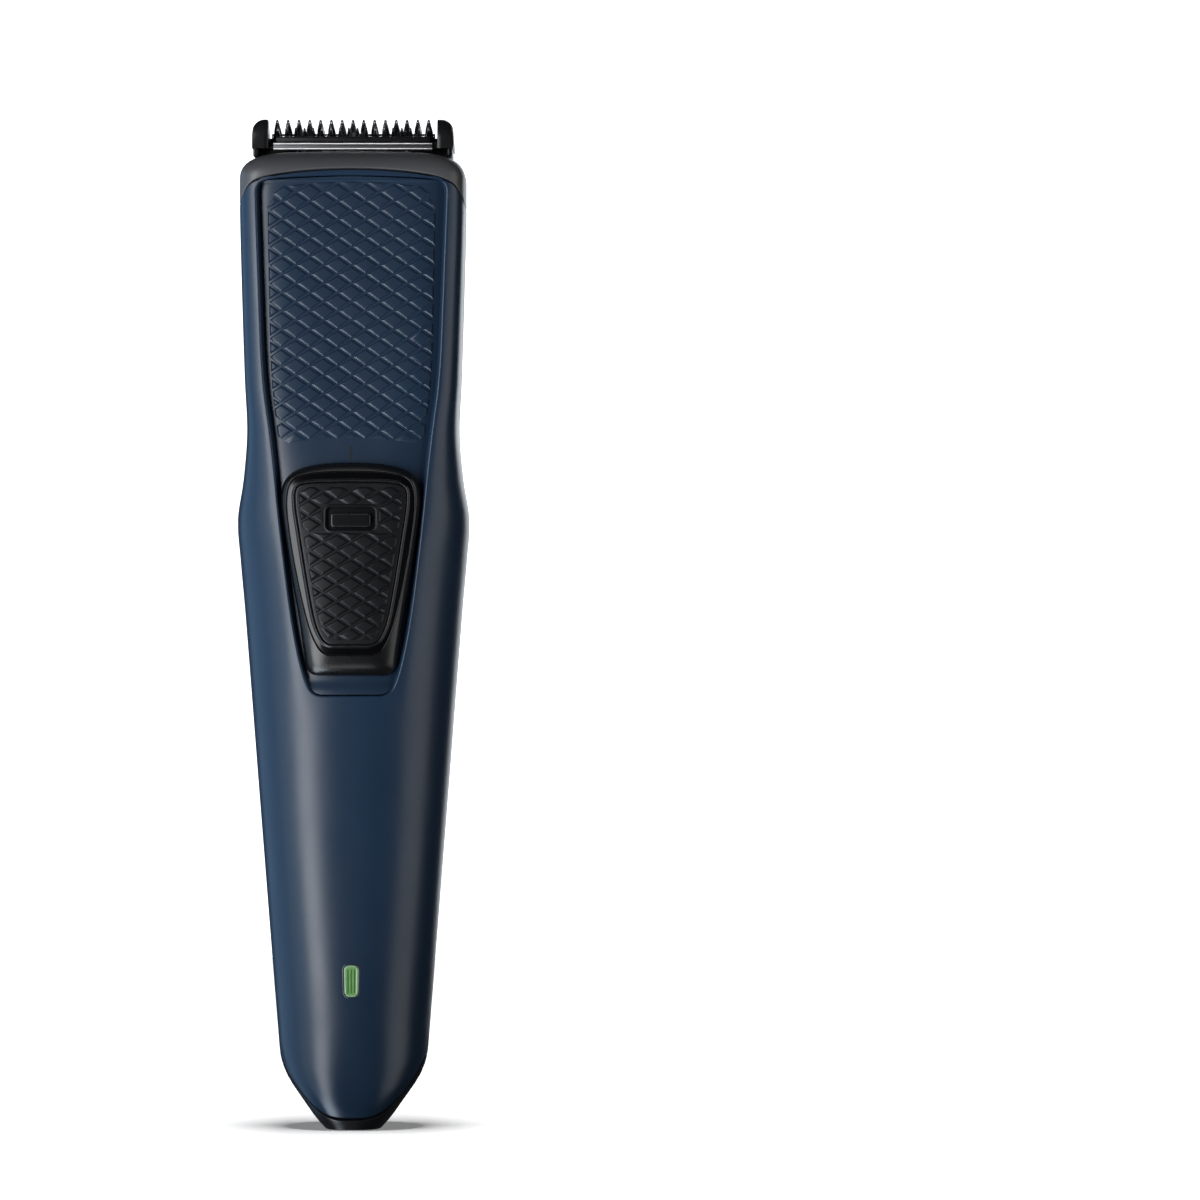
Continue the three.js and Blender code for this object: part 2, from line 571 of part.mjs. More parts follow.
function headFrame() {
  const ear = [
    [-6.4, HEAD_BASE], [8, HEAD_BASE], [8, 156.9], [4, 157.5], [1.4, 157.6],
    [-3.3, 160.1], [-5, 160.1], [-5.7, 159.3], [-6.4, 157],
  ];
  const leg = [[-5.6, 154.1], [5, 154.1], [5, 156], [-5.6, 156]];
  const boss = [
    [-1.9, HEAD_BASE], [2.6, HEAD_BASE], [2.6, 156.4], [1.4, 156.4],
    [0.8, HEAD_BASE + 0.1], [0.3, guardPlane(0.3) - 0.25], [-0.7, guardPlane(-0.7) - 0.25],
  ];
  const rear = [[2.2, HEAD_BASE], [8, HEAD_BASE], [8, 156.9], [4, 157.5], [2.2, 157.5]];
  const web = [[7.6, HEAD_BASE], [9.4, 154.6], [9.4, 157.2], [7.6, 156.9]];
  const frame = joined(
    slabs(ear, EAR.inner, EAR.outer),
    slabs(leg, 15, 15.8),
    slabs(boss, 10.6, EAR.inner + 0.5),
    slab(rear, -EAR.inner - 1, EAR.inner + 1),
    block(-EAR.inner - 0.5, EAR.inner + 0.5, -4.85, -4.25, HEAD_BASE, 156.2),
    slab(web, -HINGE.halfWidth, HINGE.halfWidth),
    barAcross(HINGE.barrel, -HINGE.halfWidth, HINGE.halfWidth, HINGE.y, HINGE.z),
  );
  const screwHoles = [-1, 1].map((side) =>
    bar(0.6, side * GUARD_SCREW.x, GUARD_SCREW.y, -2, 1.6, 12).transform(bladeFrame.elements),
  );
  return cut(frame, ...screwHoles, barAcross(HINGE.pin + 0.09, -12, 12, HINGE.y, HINGE.z));
}

const CARRIER = { halfWidth: 12.2, front: -4.75, back: -2.9, bottom: 156.5, top: 157.4 };

function cutterCarrier() {
  const { halfWidth, front, back, bottom, top } = CARRIER;
  const shoe = block(-4, 4, -4, -0.9, 155.4, 156.8);
  const slotHalf = FINGER.radius + 0.15;
  const slot = block(-slotHalf, slotHalf, FINGER.y - 1.7, 0, 155, FINGER.top + 0.3);
  const beam = block(-halfWidth, halfWidth, front, back, bottom, top);
  const aboveCutter = flat([[-20, -12], [20, -12], [20, 3], [-20, 3]], -6, CUTTER.gap + CUTTER.thick + 0.1);
  return cut(joined(beam, shoe), slot, aboveCutter.transform(bladeFrame.elements));
}

// A steel strip with a rounded ridge along its top and its bottom edge.
function bladeStrip() {
  const [back, valley, crest] = [-4.95, -5.15, -5.55];
  const outline = [
    [back, 155.1], [crest + 0.1, 155.1], [crest, 155.3], [crest + 0.1, 155.45], [valley, 155.55],
    [valley, 155.9], [crest + 0.1, 156], [crest, 156.15], [crest + 0.1, 156.3], [back, 156.3],
  ];
  return slab(outline, -12.6, 12.6);
}

// A wire spring: a bar across the back, and two arms that lift the carrier against the guard.
function cutterSpring() {
  const [across, back, low, wire] = [8, 1.5, 155.35, 0.25];
  const arm = (side) => new THREE.Vector3(side * across, CARRIER.back - 0.6, 156.1);
  const corners = [
    arm(-1), new THREE.Vector3(-across, -2, low), new THREE.Vector3(-across, back, low),
    new THREE.Vector3(across, back, low), new THREE.Vector3(across, -2, low), arm(1),
  ];
  const line = new THREE.CatmullRomCurve3(corners, false, "catmullrom", 0.12);
  const section = new THREE.Shape().absarc(0, 0, wire, 0, 2 * Math.PI);
  const sweep = { steps: 26, extrudePath: line, curveSegments: 4, bevelEnabled: false };
  return solid(new THREE.ExtrudeGeometry(section, sweep));
}

const hingePin = () => {
  const reach = HINGE.halfWidth + GAP + HINGE.lug;
  return barAcross(HINGE.pin, -reach, reach, HINGE.y, HINGE.z, 14);
};

// ---------------------------------------------------------------- materials and assembly

const finish = (color, roughness, metalness = 0) =>
  new THREE.MeshStandardMaterial({ color, roughness, metalness });
const MATERIALS = {
  navy: finish(0x1f3550, 0.32),
  black: finish(0x151617, 0.35),
  collar: finish(0x3a3c40, 0.4),
  panel: finish(0x2a3f58, 0.5),
  pad: finish(0x1b1c1e, 0.6),
  green: finish(0x7baa6e, 0.3),
  steel: finish(0x9a9da2, 0.3, 1),
  zinc: finish(0xb5b8bc, 0.35, 1),
  magnet: finish(0x3b3b3d, 0.7),
  copper: finish(0xa9673a, 0.4, 1),
  brass: finish(0xb9984e, 0.3, 1),
  board: finish(0x1f5a36, 0.5),
  cell: finish(0x5c8a44, 0.35),
  nylon: finish(0xd8d8d2, 0.5),
  rubber: finish(0x222224, 0.8),
};

function piece(name, material, made) {
  const mesh = new THREE.Mesh(geometryOf(made), MATERIALS[material]);
  mesh.name = name;
  return mesh;
}

const sides = [["left", -1], ["right", 1]];
const pinSides = [["front", -1], ["rear", 1]];

const body = new THREE.Group();
body.add(
  piece("front_shell", "navy", frontShell()),
  piece("rear_shell", "black", rearShell()),
  piece("neck_collar", "collar", neckCollar()),
  piece("front_panel", "panel", frontPanel()),
  piece("charge_window", "green", lampLens()),
  piece("chassis", "nylon", chassis()),
  piece("chassis_screw", "steel", chassisScrew()),
  piece("charging_socket", "black", chargingSocket()),
  piece("circuit_board", "board", circuitBoard()),
  piece("charge_lamp", "nylon", chargeLamp()),
  piece("contact_switch", "zinc", contactSwitch()),
  piece("battery_cell", "cell", batteryCell()),
  piece("battery_tab_lower", "zinc", batteryTab(CELL.bottom - 0.7)),
  piece("battery_tab_upper", "zinc", batteryTab(CELL.bottom + CELL.length + 0.3)),
  piece("bridge_retainer", "nylon", bridgeRetainer()),
  piece("drive_seal", "rubber", driveSeal()),
  ...pinSides.map(([name, side]) => piece("socket_pin_" + name, "brass", socketPin(side))),
  ...sides.map(([name, side]) => piece("motor_screw_" + name, "steel", motorScrew(side))),
  ...sides.map(([name, side]) => piece("retainer_screw_" + name, "steel", retainerScrew(side))),
);

const motor = new THREE.Group();
motor.add(
  piece("motor_can", "zinc", motorCan()),
  piece("motor_end_cap", "nylon", motorEndCap()),
  ...sides.map(([name, side]) => piece("motor_magnet_" + name, "magnet", magnet(side))),
  piece("motor_shaft", "steel", motorShaft()),
  piece("motor_armature", "copper", armature()),
  piece("drive_eccentric", "nylon", eccentric()),
  piece("drive_bridge", "nylon", driveBridge()),
);

const powerSwitch = new THREE.Group();
powerSwitch.add(
  piece("switch_slide", "black", switchSlide()),
  piece("switch_pad", "pad", switchPad()),
  piece("switch_carriage", "nylon", switchCarriage()),
);

const blades = new THREE.Group();
blades.applyMatrix4(bladeFrame);
blades.add(
  piece("guard_blade", "steel", guardBlade()),
  piece("cutter_blade", "steel", cutterBlade()),
  ...sides.map(([name, side]) => piece("guard_screw_" + name, "steel", guardScrew(side))),
);

const head = new THREE.Group();
head.add(
  piece("head_frame", "black", headFrame()),
  piece("cutter_carrier", "black", cutterCarrier()),
  piece("blade_strip", "steel", bladeStrip()),
  piece("cutter_spring", "steel", cutterSpring()),
  piece("head_hinge_pin", "steel", hingePin()),
  blades,
);

const trimmer = new THREE.Group();
trimmer.add(body, motor, powerSwitch, head);

export default trimmer;
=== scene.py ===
"""Looks of a cordless beard trimmer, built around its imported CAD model.

Helpers work in millimetres, with +X right, -Y front, +Z up and the origin at the middle of the base.
Meshes are in metres. A loop is an array of points that runs once round a piece, and a sheet is a stack of
such loops.
"""

import math

import bmesh
import bpy
import numpy as np
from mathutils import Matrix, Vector


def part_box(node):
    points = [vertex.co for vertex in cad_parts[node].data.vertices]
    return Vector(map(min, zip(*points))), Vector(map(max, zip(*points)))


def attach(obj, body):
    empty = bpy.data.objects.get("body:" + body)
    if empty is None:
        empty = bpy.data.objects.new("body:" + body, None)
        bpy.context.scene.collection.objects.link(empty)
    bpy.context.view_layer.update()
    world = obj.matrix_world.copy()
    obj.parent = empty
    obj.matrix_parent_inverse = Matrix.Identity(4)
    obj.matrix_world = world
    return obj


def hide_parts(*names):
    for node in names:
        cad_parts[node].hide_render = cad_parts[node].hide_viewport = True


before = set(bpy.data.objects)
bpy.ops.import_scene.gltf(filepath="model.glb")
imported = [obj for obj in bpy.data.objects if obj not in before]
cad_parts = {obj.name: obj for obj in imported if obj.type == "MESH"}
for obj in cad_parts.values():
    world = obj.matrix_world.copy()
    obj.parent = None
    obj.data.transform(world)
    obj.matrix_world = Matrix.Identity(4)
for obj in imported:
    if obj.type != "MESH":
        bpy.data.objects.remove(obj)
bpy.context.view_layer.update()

# -------- driving dimensions

MM = 0.001
GAP = 0.3  # between neighbouring mouldings
SHELL = 1.6  # wall of the shells
# Exponent of the body's superellipse section: an oval grip below, a squarer neck above.
SQUARENESS = [
    (0, 3.2), (4, 3), (8, 2.5), (14, 2.2), (30, 2.3), (45, 2.4), (80, 2.4), (92, 2.7), (101, 3.6), (110, 5.4),
    (118, 7), (144, 8),
]
GRIP_SQUARENESS = 2.4
SHOULDER_Z = 150.3
CROWN_Z = 154.9
SEAM_Z = 146.4
PART_Y = 2.0  # plane where the front and rear shells meet

# (height, size) pairs up the body.
HALF_WIDTH = [
    (0, 4.5), (1.6, 5.95), (4, 7.7), (8, 10.45), (11, 11.6), (14, 11.95), (50, 14.8), (82, 17.3), (90, 18),
    (96.5, 18.4), (103, 17.4), (110.5, 16.75), (118.7, 17.06), (131, 17.45), (144, 17.8),
    (SHOULDER_Z, 17.84),
]
FRONT_DEPTH = [
    (0, 8.6), (2.5, 9.9), (5.4, 10.6), (8, 10.9), (14, 11.2), (50, 12.6), (82, 14), (96.5, 14.3),
    (110.5, 13.6), (131, 13), (SHOULDER_Z, 12),
]
REAR_DEPTH = [
    (0, 8), (2.5, 9), (5.4, 9.9), (8, 10.5), (14, 11.2), (50, 12.9), (82, 14.7), (96.5, 15), (110.5, 14.6),
    (131, 14.4), (SHOULDER_Z, 13),
]

# Front-view outlines, each the right half from the bottom middle to the top middle.
RECESS = [
    (0, 68.7), (2.6, 68.7), (6.1, 68.7), (7.5, 71.8), (8.8, 77.5), (9.8, 83.8), (11.1, 94.6), (12.4, 108.4),
    (13.9, 118.7), (14.4, 132), (14.8, 143), (14.95, 146.4), (15, 150.1), (10.8, 150.4), (6, 150.65),
    (0, 150.8),
]
SLIDE = [
    (0, 71.9), (3.2, 71.9), (6.9, 71.9), (7.5, 75.6), (8.25, 81), (9.2, 86), (10.5, 94.6), (11.3, 100.5),
    (10, 103.8), (6.5, 105), (3, 105.4), (0, 105.45),
]
RIM = [
    (0, 74.9), (1.8, 74.9), (4.6, 74.9), (6.4, 78.1), (7.5, 82), (8.6, 87), (9.7, 93), (10.5, 99.6),
    (9.6, 103.1), (6.5, 103.9), (3, 104.15), (0, 104.2),
]
PAD = [
    (0, 76.75), (1.6, 76.75), (4, 76.75), (5.4, 79.2), (6.2, 82.5), (7.3, 89), (8.3, 95.5), (8.8, 98.5),
    (8.8, 101.8), (6, 102.25), (3, 102.3), (0, 102.35),
]
LOWER_EDGE = [(0, 1.8), (2.6, 1.95), (4.8, 2.8), (7.5, 5.2), (10.3, 8.9), (11.9, 12.4)]
COLLAR_EDGE = [
    (0, 152), (7, 151.7), (12.9, 150.9), (16, 149.8), (17, 148.4), (17.5, 147.4), (17.85, SEAM_Z),
]

PANEL_INSET = 1.45
WINDOW = {"half_width": 1.12, "half_height": 2.5, "z": 23.7}
NUB = {"half_width": 3.15, "half_height": 1.1, "z": 96.35}
NUB_HOLE = {"half_width": 3.85, "half_height": 1.8, "z": 96.6}
INLET = {"half_width": 2.8, "half_length": 3.8, "y": 1.0}

# -------- form of the body


def through(knots):
    """A smooth value through (at, value) knots, which never passes the highest or lowest knot."""
    at, value = np.array(knots, float).T
    slope = np.gradient(value, at)
    slope[1:-1] = (value[2:] - value[:-2]) / (at[2:] - at[:-2])

    def evaluate(x):
        x = np.clip(x, at[0], at[-1])
        i = np.clip(np.searchsorted(at, x, side="right") - 1, 0, len(at) - 2)
        span = at[i + 1] - at[i]
        t = (x - at[i]) / span
        rise = value[i] * (2 * t**3 - 3 * t**2 + 1) + value[i + 1] * (3 * t**2 - 2 * t**3)
        bend = span * (slope[i] * (t**3 - 2 * t**2 + t) + slope[i + 1] * (t**3 - t**2))
        return np.clip(rise + bend, value.min(), value.max())

    return evaluate


width_at = through(HALF_WIDTH)
squareness_at = through(SQUARENESS)
front_at = through(FRONT_DEPTH)
rear_at = through(REAR_DEPTH)

# A quarter of the grip's section: x as a share of the half width, against the share of the quarter's
# length from the middle of the front (0) to the side (1).
GRIP_HALF_WIDTH, GRIP_DEPTH = 17.5, 13.5
TURN = np.linspace(0, math.pi / 2, 4001)
SHARE_X = np.sin(TURN) ** (2 / GRIP_SQUARENESS)
SHARE_Y = np.cos(TURN) ** (2 / GRIP_SQUARENESS)
STEPS = np.hypot(np.diff(SHARE_X) * GRIP_HALF_WIDTH, np.diff(SHARE_Y) * GRIP_DEPTH)
QUARTER = np.cumsum(STEPS)[-1]
ALONG = np.concatenate([[0], np.cumsum(STEPS)]) / QUARTER
SHOULDER_POWER = 4.5


def shoulder(z):
    """Share of the section's size that is left at a height above the shoulder's start."""
    up = np.clip((z - SHOULDER_Z) / (CROWN_Z - SHOULDER_Z), 0, 0.99)
    return (1 - up**2.5) ** (1 / SHOULDER_POWER)


def fall(share, z):
    """How much of the depth is left at a share of the half width, or the other way round."""
    power = squareness_at(z)
    return (1 - np.clip(share, 0, 1) ** power) ** (1 / power)


def skin(s, z, inset=0.0, scale=None):
    """Points of the body's surface. s is 0 in front, 1 and -1 at the sides, 2 at the back."""
    s = np.where(s > 2, s - 4, s)
    scale = shoulder(z) if scale is None else scale
    rear = np.abs(s) > 1
    quarter = np.where(rear, 2 - np.abs(s), np.abs(s))
    share = np.interp(quarter, ALONG, SHARE_X)
    x = np.sign(s) * share * (width_at(z) * scale - inset)
    depth = np.where(rear, rear_at(z), front_at(z)) * scale - inset
    y = fall(share, z) * depth * np.where(rear, 1, -1)
    return np.stack([x, y, z + 0 * x], -1)


def s_of_x(x, z):
    """Place along the front of the section for a distance from the middle."""
    return np.sign(x) * np.interp(np.abs(x) / (width_at(z) * shoulder(z)), SHARE_X, ALONG)


def s_of_parting(y, z):
    """Where the surface crosses a plane a little behind the middle."""
    share = y / rear_at(z)
    return 2 - np.interp(fall(share, z), SHARE_X, ALONG)


def front(loop, inset):
    """Lifts front-view (x, z) points onto the body's front, moved inwards by inset."""
    x, z = loop[:, 0], loop[:, 1]
    share = np.clip(np.abs(x) / (width_at(z) * shoulder(z) - inset), 0, 1)
    y = -(front_at(z) * shoulder(z) - inset) * fall(share, z)
    return np.stack([x, y, z], -1)


# -------- outlines


def softened(points, rounds=4):
    """Cuts a closed outline's corners until it is a smooth curve."""
    for _ in range(rounds):
        following = np.roll(points, -1, 0)
        quarters = [0.75 * points + 0.25 * following, 0.25 * points + 0.75 * following]
        points = np.stack(quarters, 1).reshape(-1, 2)
    return points


def right_side(half):
    """The smooth right half of an outline, from its bottom middle to its top middle."""
    half = np.array(half, float)
    closed = softened(np.vstack([half, half[-2:0:-1] * [-1, 1]]))
    inside = closed[:, 0] > 0
    first = int(np.argmax(inside & ~np.roll(inside, 1)))
    closed = np.roll(closed, -first, 0)
    kept = closed[closed[:, 0] > 0]
    return np.vstack([[0, half[0, 1]], kept, [0, half[-1, 1]]])


def spaced(line, count):
    """count evenly spaced points along a line, without its end."""
    along = np.concatenate([[0], np.cumsum(np.linalg.norm(np.diff(line, axis=0), axis=1))])
    at = np.linspace(0, along[-1], count, endpoint=False)
    return np.stack([np.interp(at, along, line[:, k]) for k in range(line.shape[1])], -1)


def paced(line, stops, counts):
    """Points along a line, counts[i] of them in its i-th stretch between the points nearest to the stops."""
    cuts = [int(np.argmin(np.linalg.norm(line - stop, axis=1))) for stop in stops]
    cuts = [0, *cuts, len(line) - 1]
    stretches = [spaced(line[a : b + 1], n) for a, b, n in zip(cuts, cuts[1:], counts)]
    return np.vstack([*stretches, line[-1:]])


def whole(right):
    """A closed outline from its right half."""
    return np.vstack([right, right[-2:0:-1] * [-1, 1]])


def outline(half, count):
    """A closed outline of 2 * count points."""
    line = right_side(half)
    return whole(np.vstack([spaced(line, count), line[-1:]]))


def moved_in(loop, by):
    """An anticlockwise loop moved inwards by a distance."""
    ahead = np.roll(loop, -1, 0) - np.roll(loop, 1, 0)
    ahead /= np.linalg.norm(ahead, axis=1, keepdims=True)
    return loop + by * np.stack([-ahead[:, 1], ahead[:, 0]], -1)


def pill(half_width, half_height, z, count, corner):
    """A rounded rectangle as a closed loop that starts at its bottom middle."""
    w, h, c = half_width, half_height, corner
    arc = np.linspace(0, math.pi / 2, 9)
    low = np.stack([w - c + c * np.sin(arc), z - h + c - c * np.cos(arc)], -1)
    high = np.stack([w - c + c * np.cos(arc), z + h - c + c * np.sin(arc)], -1)
    right = np.vstack([[0, z - h], low, high, [0, z + h]])
    return whole(np.vstack([spaced(right, count), right[-1:]]))


# -------- meshes


def lofted(bm, rows, wrap_rows=False, wrap_columns=True):
    """Quads through rows of points. Rows that fold onto a line are welded later."""
    grid = [[bm.verts.new(Vector(p) * MM) for p in row] for row in rows]
    count = len(grid[0])
    for a, b in zip(grid, grid[1:] + ([grid[0]] if wrap_rows else [])):
        for j in range(count if wrap_columns else count - 1):
            k = (j + 1) % count
            bm.faces.new((a[j], a[k], b[k], b[j]))


def capped(bm, loops):
    """A closed solid through matching loops, with a flat face at either end."""
    grid = [[bm.verts.new(Vector(p) * MM) for p in loop] for loop in loops]
    for lower, upper in zip(grid, grid[1:]):
        for j, vertex in enumerate(lower):
            k = (j + 1) % len(lower)
            bm.faces.new((vertex, lower[k], upper[k], upper[j]))
    bm.faces.new(grid[0][::-1])
    bm.faces.new(grid[-1])


def rounded_solid(bm, base, top, radius, segments=3, sharper_than=25):
    """A prism between two matching loops, with its edges rounded."""
    one = bmesh.new()
    capped(one, [base, top])
    bmesh.ops.recalc_face_normals(one, faces=one.faces)
    edges = [e for e in one.edges if e.calc_face_angle(0) > math.radians(sharper_than)]
    rounding = {"offset": radius * MM, "segments": segments, "profile": 0.5, "clamp_overlap": True}
    bmesh.ops.bevel(one, geom=edges, affect="EDGES", **rounding)
    absorb(bm, one)


def absorb(bm, other):
    """Adds another bmesh's faces as islands of their own."""
    mesh = bpy.data.meshes.new("island")
    other.to_mesh(mesh)
    other.free()
    bm.from_mesh(mesh)
    bpy.data.meshes.remove(mesh)


def slab(bm, points, x0, x1, radius):
    """A rounded solid from a side-view (y, z) outline, between two places across."""
    loops = [[np.array([x, y, z]) for y, z in points] for x in (x0, x1)]
    rounded_solid(bm, *loops, radius)


def front_slab(bm, points, y0, y1, radius):
    """A rounded solid from a front-view (x, z) outline, between two depths."""
    loops = [[np.array([x, y, z]) for x, z in points] for y in (y0, y1)]
    rounded_solid(bm, *loops, radius)


def block(bm, x0, x1, y0, y1, z0, z1, radius=0.15):
    slab(bm, [(y0, z0), (y1, z0), (y1, z1), (y0, z1)], x0, x1, radius)


def round_bar(bm, radius, x0, x1, y, z, edge=0.2, sides=40):
    turn = [2 * math.pi * i / sides for i in range(sides)]
    slab(bm, [(y + radius * math.cos(a), z + radius * math.sin(a)) for a in turn], x0, x1, edge)


def smoothed(mesh, sharp):
    """Smooth shading, except across edges that turn by more than sharp degrees."""
    mesh.polygons.foreach_set("use_smooth", [True] * len(mesh.polygons))
    mesh.set_sharp_from_angle(angle=math.radians(sharp))


def painted(bm, first, stop, slot):
    """Gives a run of a bmesh's faces one of its material slots."""
    bm.faces.ensure_lookup_table()
    for face in bm.faces[first:stop]:
        face.material_index = slot


def made(name, bm, body, replaced, finishes, weld=0.002, sharp=45):
    """Turns a bmesh into a piece that rides on a body and stands for CAD nodes."""
    bmesh.ops.remove_doubles(bm, verts=bm.verts, dist=weld * MM)
    bmesh.ops.dissolve_degenerate(bm, edges=bm.edges, dist=1e-7)
    bmesh.ops.recalc_face_normals(bm, faces=bm.faces)
    mesh = bpy.data.meshes.new(name)
    bm.to_mesh(mesh)
    bm.free()
    smoothed(mesh, sharp)
    piece = bpy.data.objects.new(name, mesh)
    bpy.context.collection.objects.link(piece)
    for finish in finishes:
        mesh.materials.append(finished(finish))
    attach(piece, body)
    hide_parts(*replaced)
    return piece


def unit(v):
    """Vectors scaled to a length of 1."""
    return v / np.maximum(np.linalg.norm(v, axis=-1, keepdims=True), 1e-9)


def skin_normals(s, z, step=0.004):
    """Outward normals of the body's surface."""
    around = skin(s + step, z) - skin(s - step, z)
    upwards = skin(s, z + 10 * step) - skin(s, z - 10 * step)
    return unit(np.cross(around, upwards))


def sheet_normals(sheet):
    """Outward normals of a sheet whose loops run round the body."""
    normals = unit(np.cross(np.gradient(sheet, axis=0), np.roll(sheet, -1, 1) - np.roll(sheet, 1, 1)))
    outward = np.sum(normals[..., :2] * sheet[..., :2])
    return normals if outward > 0 else -normals


def rolled_edge(edge, second, normal, radius, thick, steps=6):
    """Loops that turn from the sheet's face over a rounded edge and down to its inner face."""
    ahead = unit(np.roll(edge, -1, 0) - np.roll(edge, 1, 0))
    inward = unit(np.cross(normal, ahead))
    inward *= np.sign(np.sum(inward * unit(second - edge)))
    turns = np.linspace(0, math.pi / 2, steps)
    arc = [edge + inward * radius * (1 - math.sin(t)) - normal * radius * (1 - math.cos(t)) for t in turns]
    return [*arc, edge - normal * thick]


def thickened(bm, sheet, normals, thick, first_radius, last_radius):
    """A closed wall from a sheet that runs from one free edge to another."""
    first = rolled_edge(sheet[0], sheet[1], normals[0], first_radius, thick)
    last = rolled_edge(sheet[-1], sheet[-2], normals[-1], last_radius, thick)
    inner = (sheet - normals * thick)[1:-1]
    lofted(bm, [*sheet[1:-1], *last, *inner[::-1], *first[::-1]], wrap_rows=True)


def to_axis(loop, shares):
    """Front-view loops drawn in towards the middle line, where their two halves meet."""
    return [loop * [share, 1] for share in shares]


# -------- materials

WHITE = (1, 1, 1, 1)


class Finish:
    """A Principled material with noise-driven colour, roughness and bump, scaled in millimetres."""

    def __init__(self, name, colour, roughness, sockets=None):
        self.material = bpy.data.materials.new(name)
        self.material.use_nodes = True
        self.nodes = self.material.node_tree.nodes
        self.links = self.material.node_tree.links
        self.shader = self.nodes["Principled BSDF"]
        self.colour, self.roughness = (*colour, 1), roughness
        constants = {"Base Color": self.colour, "Roughness": roughness, **(sockets or {})}
        for socket, value in constants.items():
            self.shader.inputs[socket].default_value = value
        coordinates = self.nodes.new("ShaderNodeTexCoord")
        self.place = coordinates.outputs["Object"]

    def noise(self, size, detail=4.0, stretch=(1, 1, 1)):
        """Noise whose grains measure about size millimetres, longer where stretch is above 1."""
        mapping = self.nodes.new("ShaderNodeMapping")
        mapping.inputs["Scale"].default_value = [1 / (size * MM * s) for s in stretch]
        self.links.new(self.place, mapping.inputs["Vector"])
        texture = self.nodes.new("ShaderNodeTexNoise")
        texture.inputs["Scale"].default_value = 1.0
        texture.inputs["Detail"].default_value = detail
        self.links.new(mapping.outputs["Vector"], texture.inputs["Vector"])
        return texture.outputs["Fac"]

    def ranged(self, value, low, high):
        node = self.nodes.new("ShaderNodeMapRange")
        node.inputs["From Min"].default_value = 0.3
        node.inputs["From Max"].default_value = 0.7
        node.inputs["To Min"].default_value = low
        node.inputs["To Max"].default_value = high
        self.links.new(value, node.inputs["Value"])
        return node.outputs["Result"]

    def tinted(self, size, amount, other=None, detail=3.0, stretch=(1, 1, 1)):
        """Drifts the colour a little towards another."""
        mix = self.nodes.new("ShaderNodeMix")
        mix.data_type = "RGBA"
        other = (*other, 1) if other else tuple(min(c * 1.6, 1) for c in self.colour[:3]) + (1,)
        mix.inputs["A"].default_value = self.colour
        mix.inputs["B"].default_value = other
        self.links.new(self.ranged(self.noise(size, detail, stretch), 0, amount), mix.inputs["Factor"])
        self.links.new(mix.outputs["Result"], self.shader.inputs["Base Color"])

    def smudged(self, size, amount):
        """Varies the roughness, as handling does."""
        value = self.ranged(self.noise(size, 5.0), self.roughness - amount, self.roughness + amount)
        self.links.new(value, self.shader.inputs["Roughness"])

    def grained(self, size, depth, stretch=(1, 1, 1)):
        """Raises a fine texture, depth millimetres high."""
        bump = self.nodes.new("ShaderNodeBump")
        bump.inputs["Strength"].default_value = 1.0
        bump.inputs["Distance"].default_value = depth * MM
        self.links.new(self.noise(size, 2.0, stretch), bump.inputs["Height"])
        self.links.new(bump.outputs["Normal"], self.shader.inputs["Normal"])


METAL = {"Metallic": 1.0}
# Painted glow: a faint green emission that makes the lens itself shine, though it is no lamp.
GLOW = {"Emission Color": (0.16, 0.42, 0.12, 1), "Emission Strength": 0.05}
MILKY = {"Subsurface Weight": 0.08, "Subsurface Scale": 0.001}

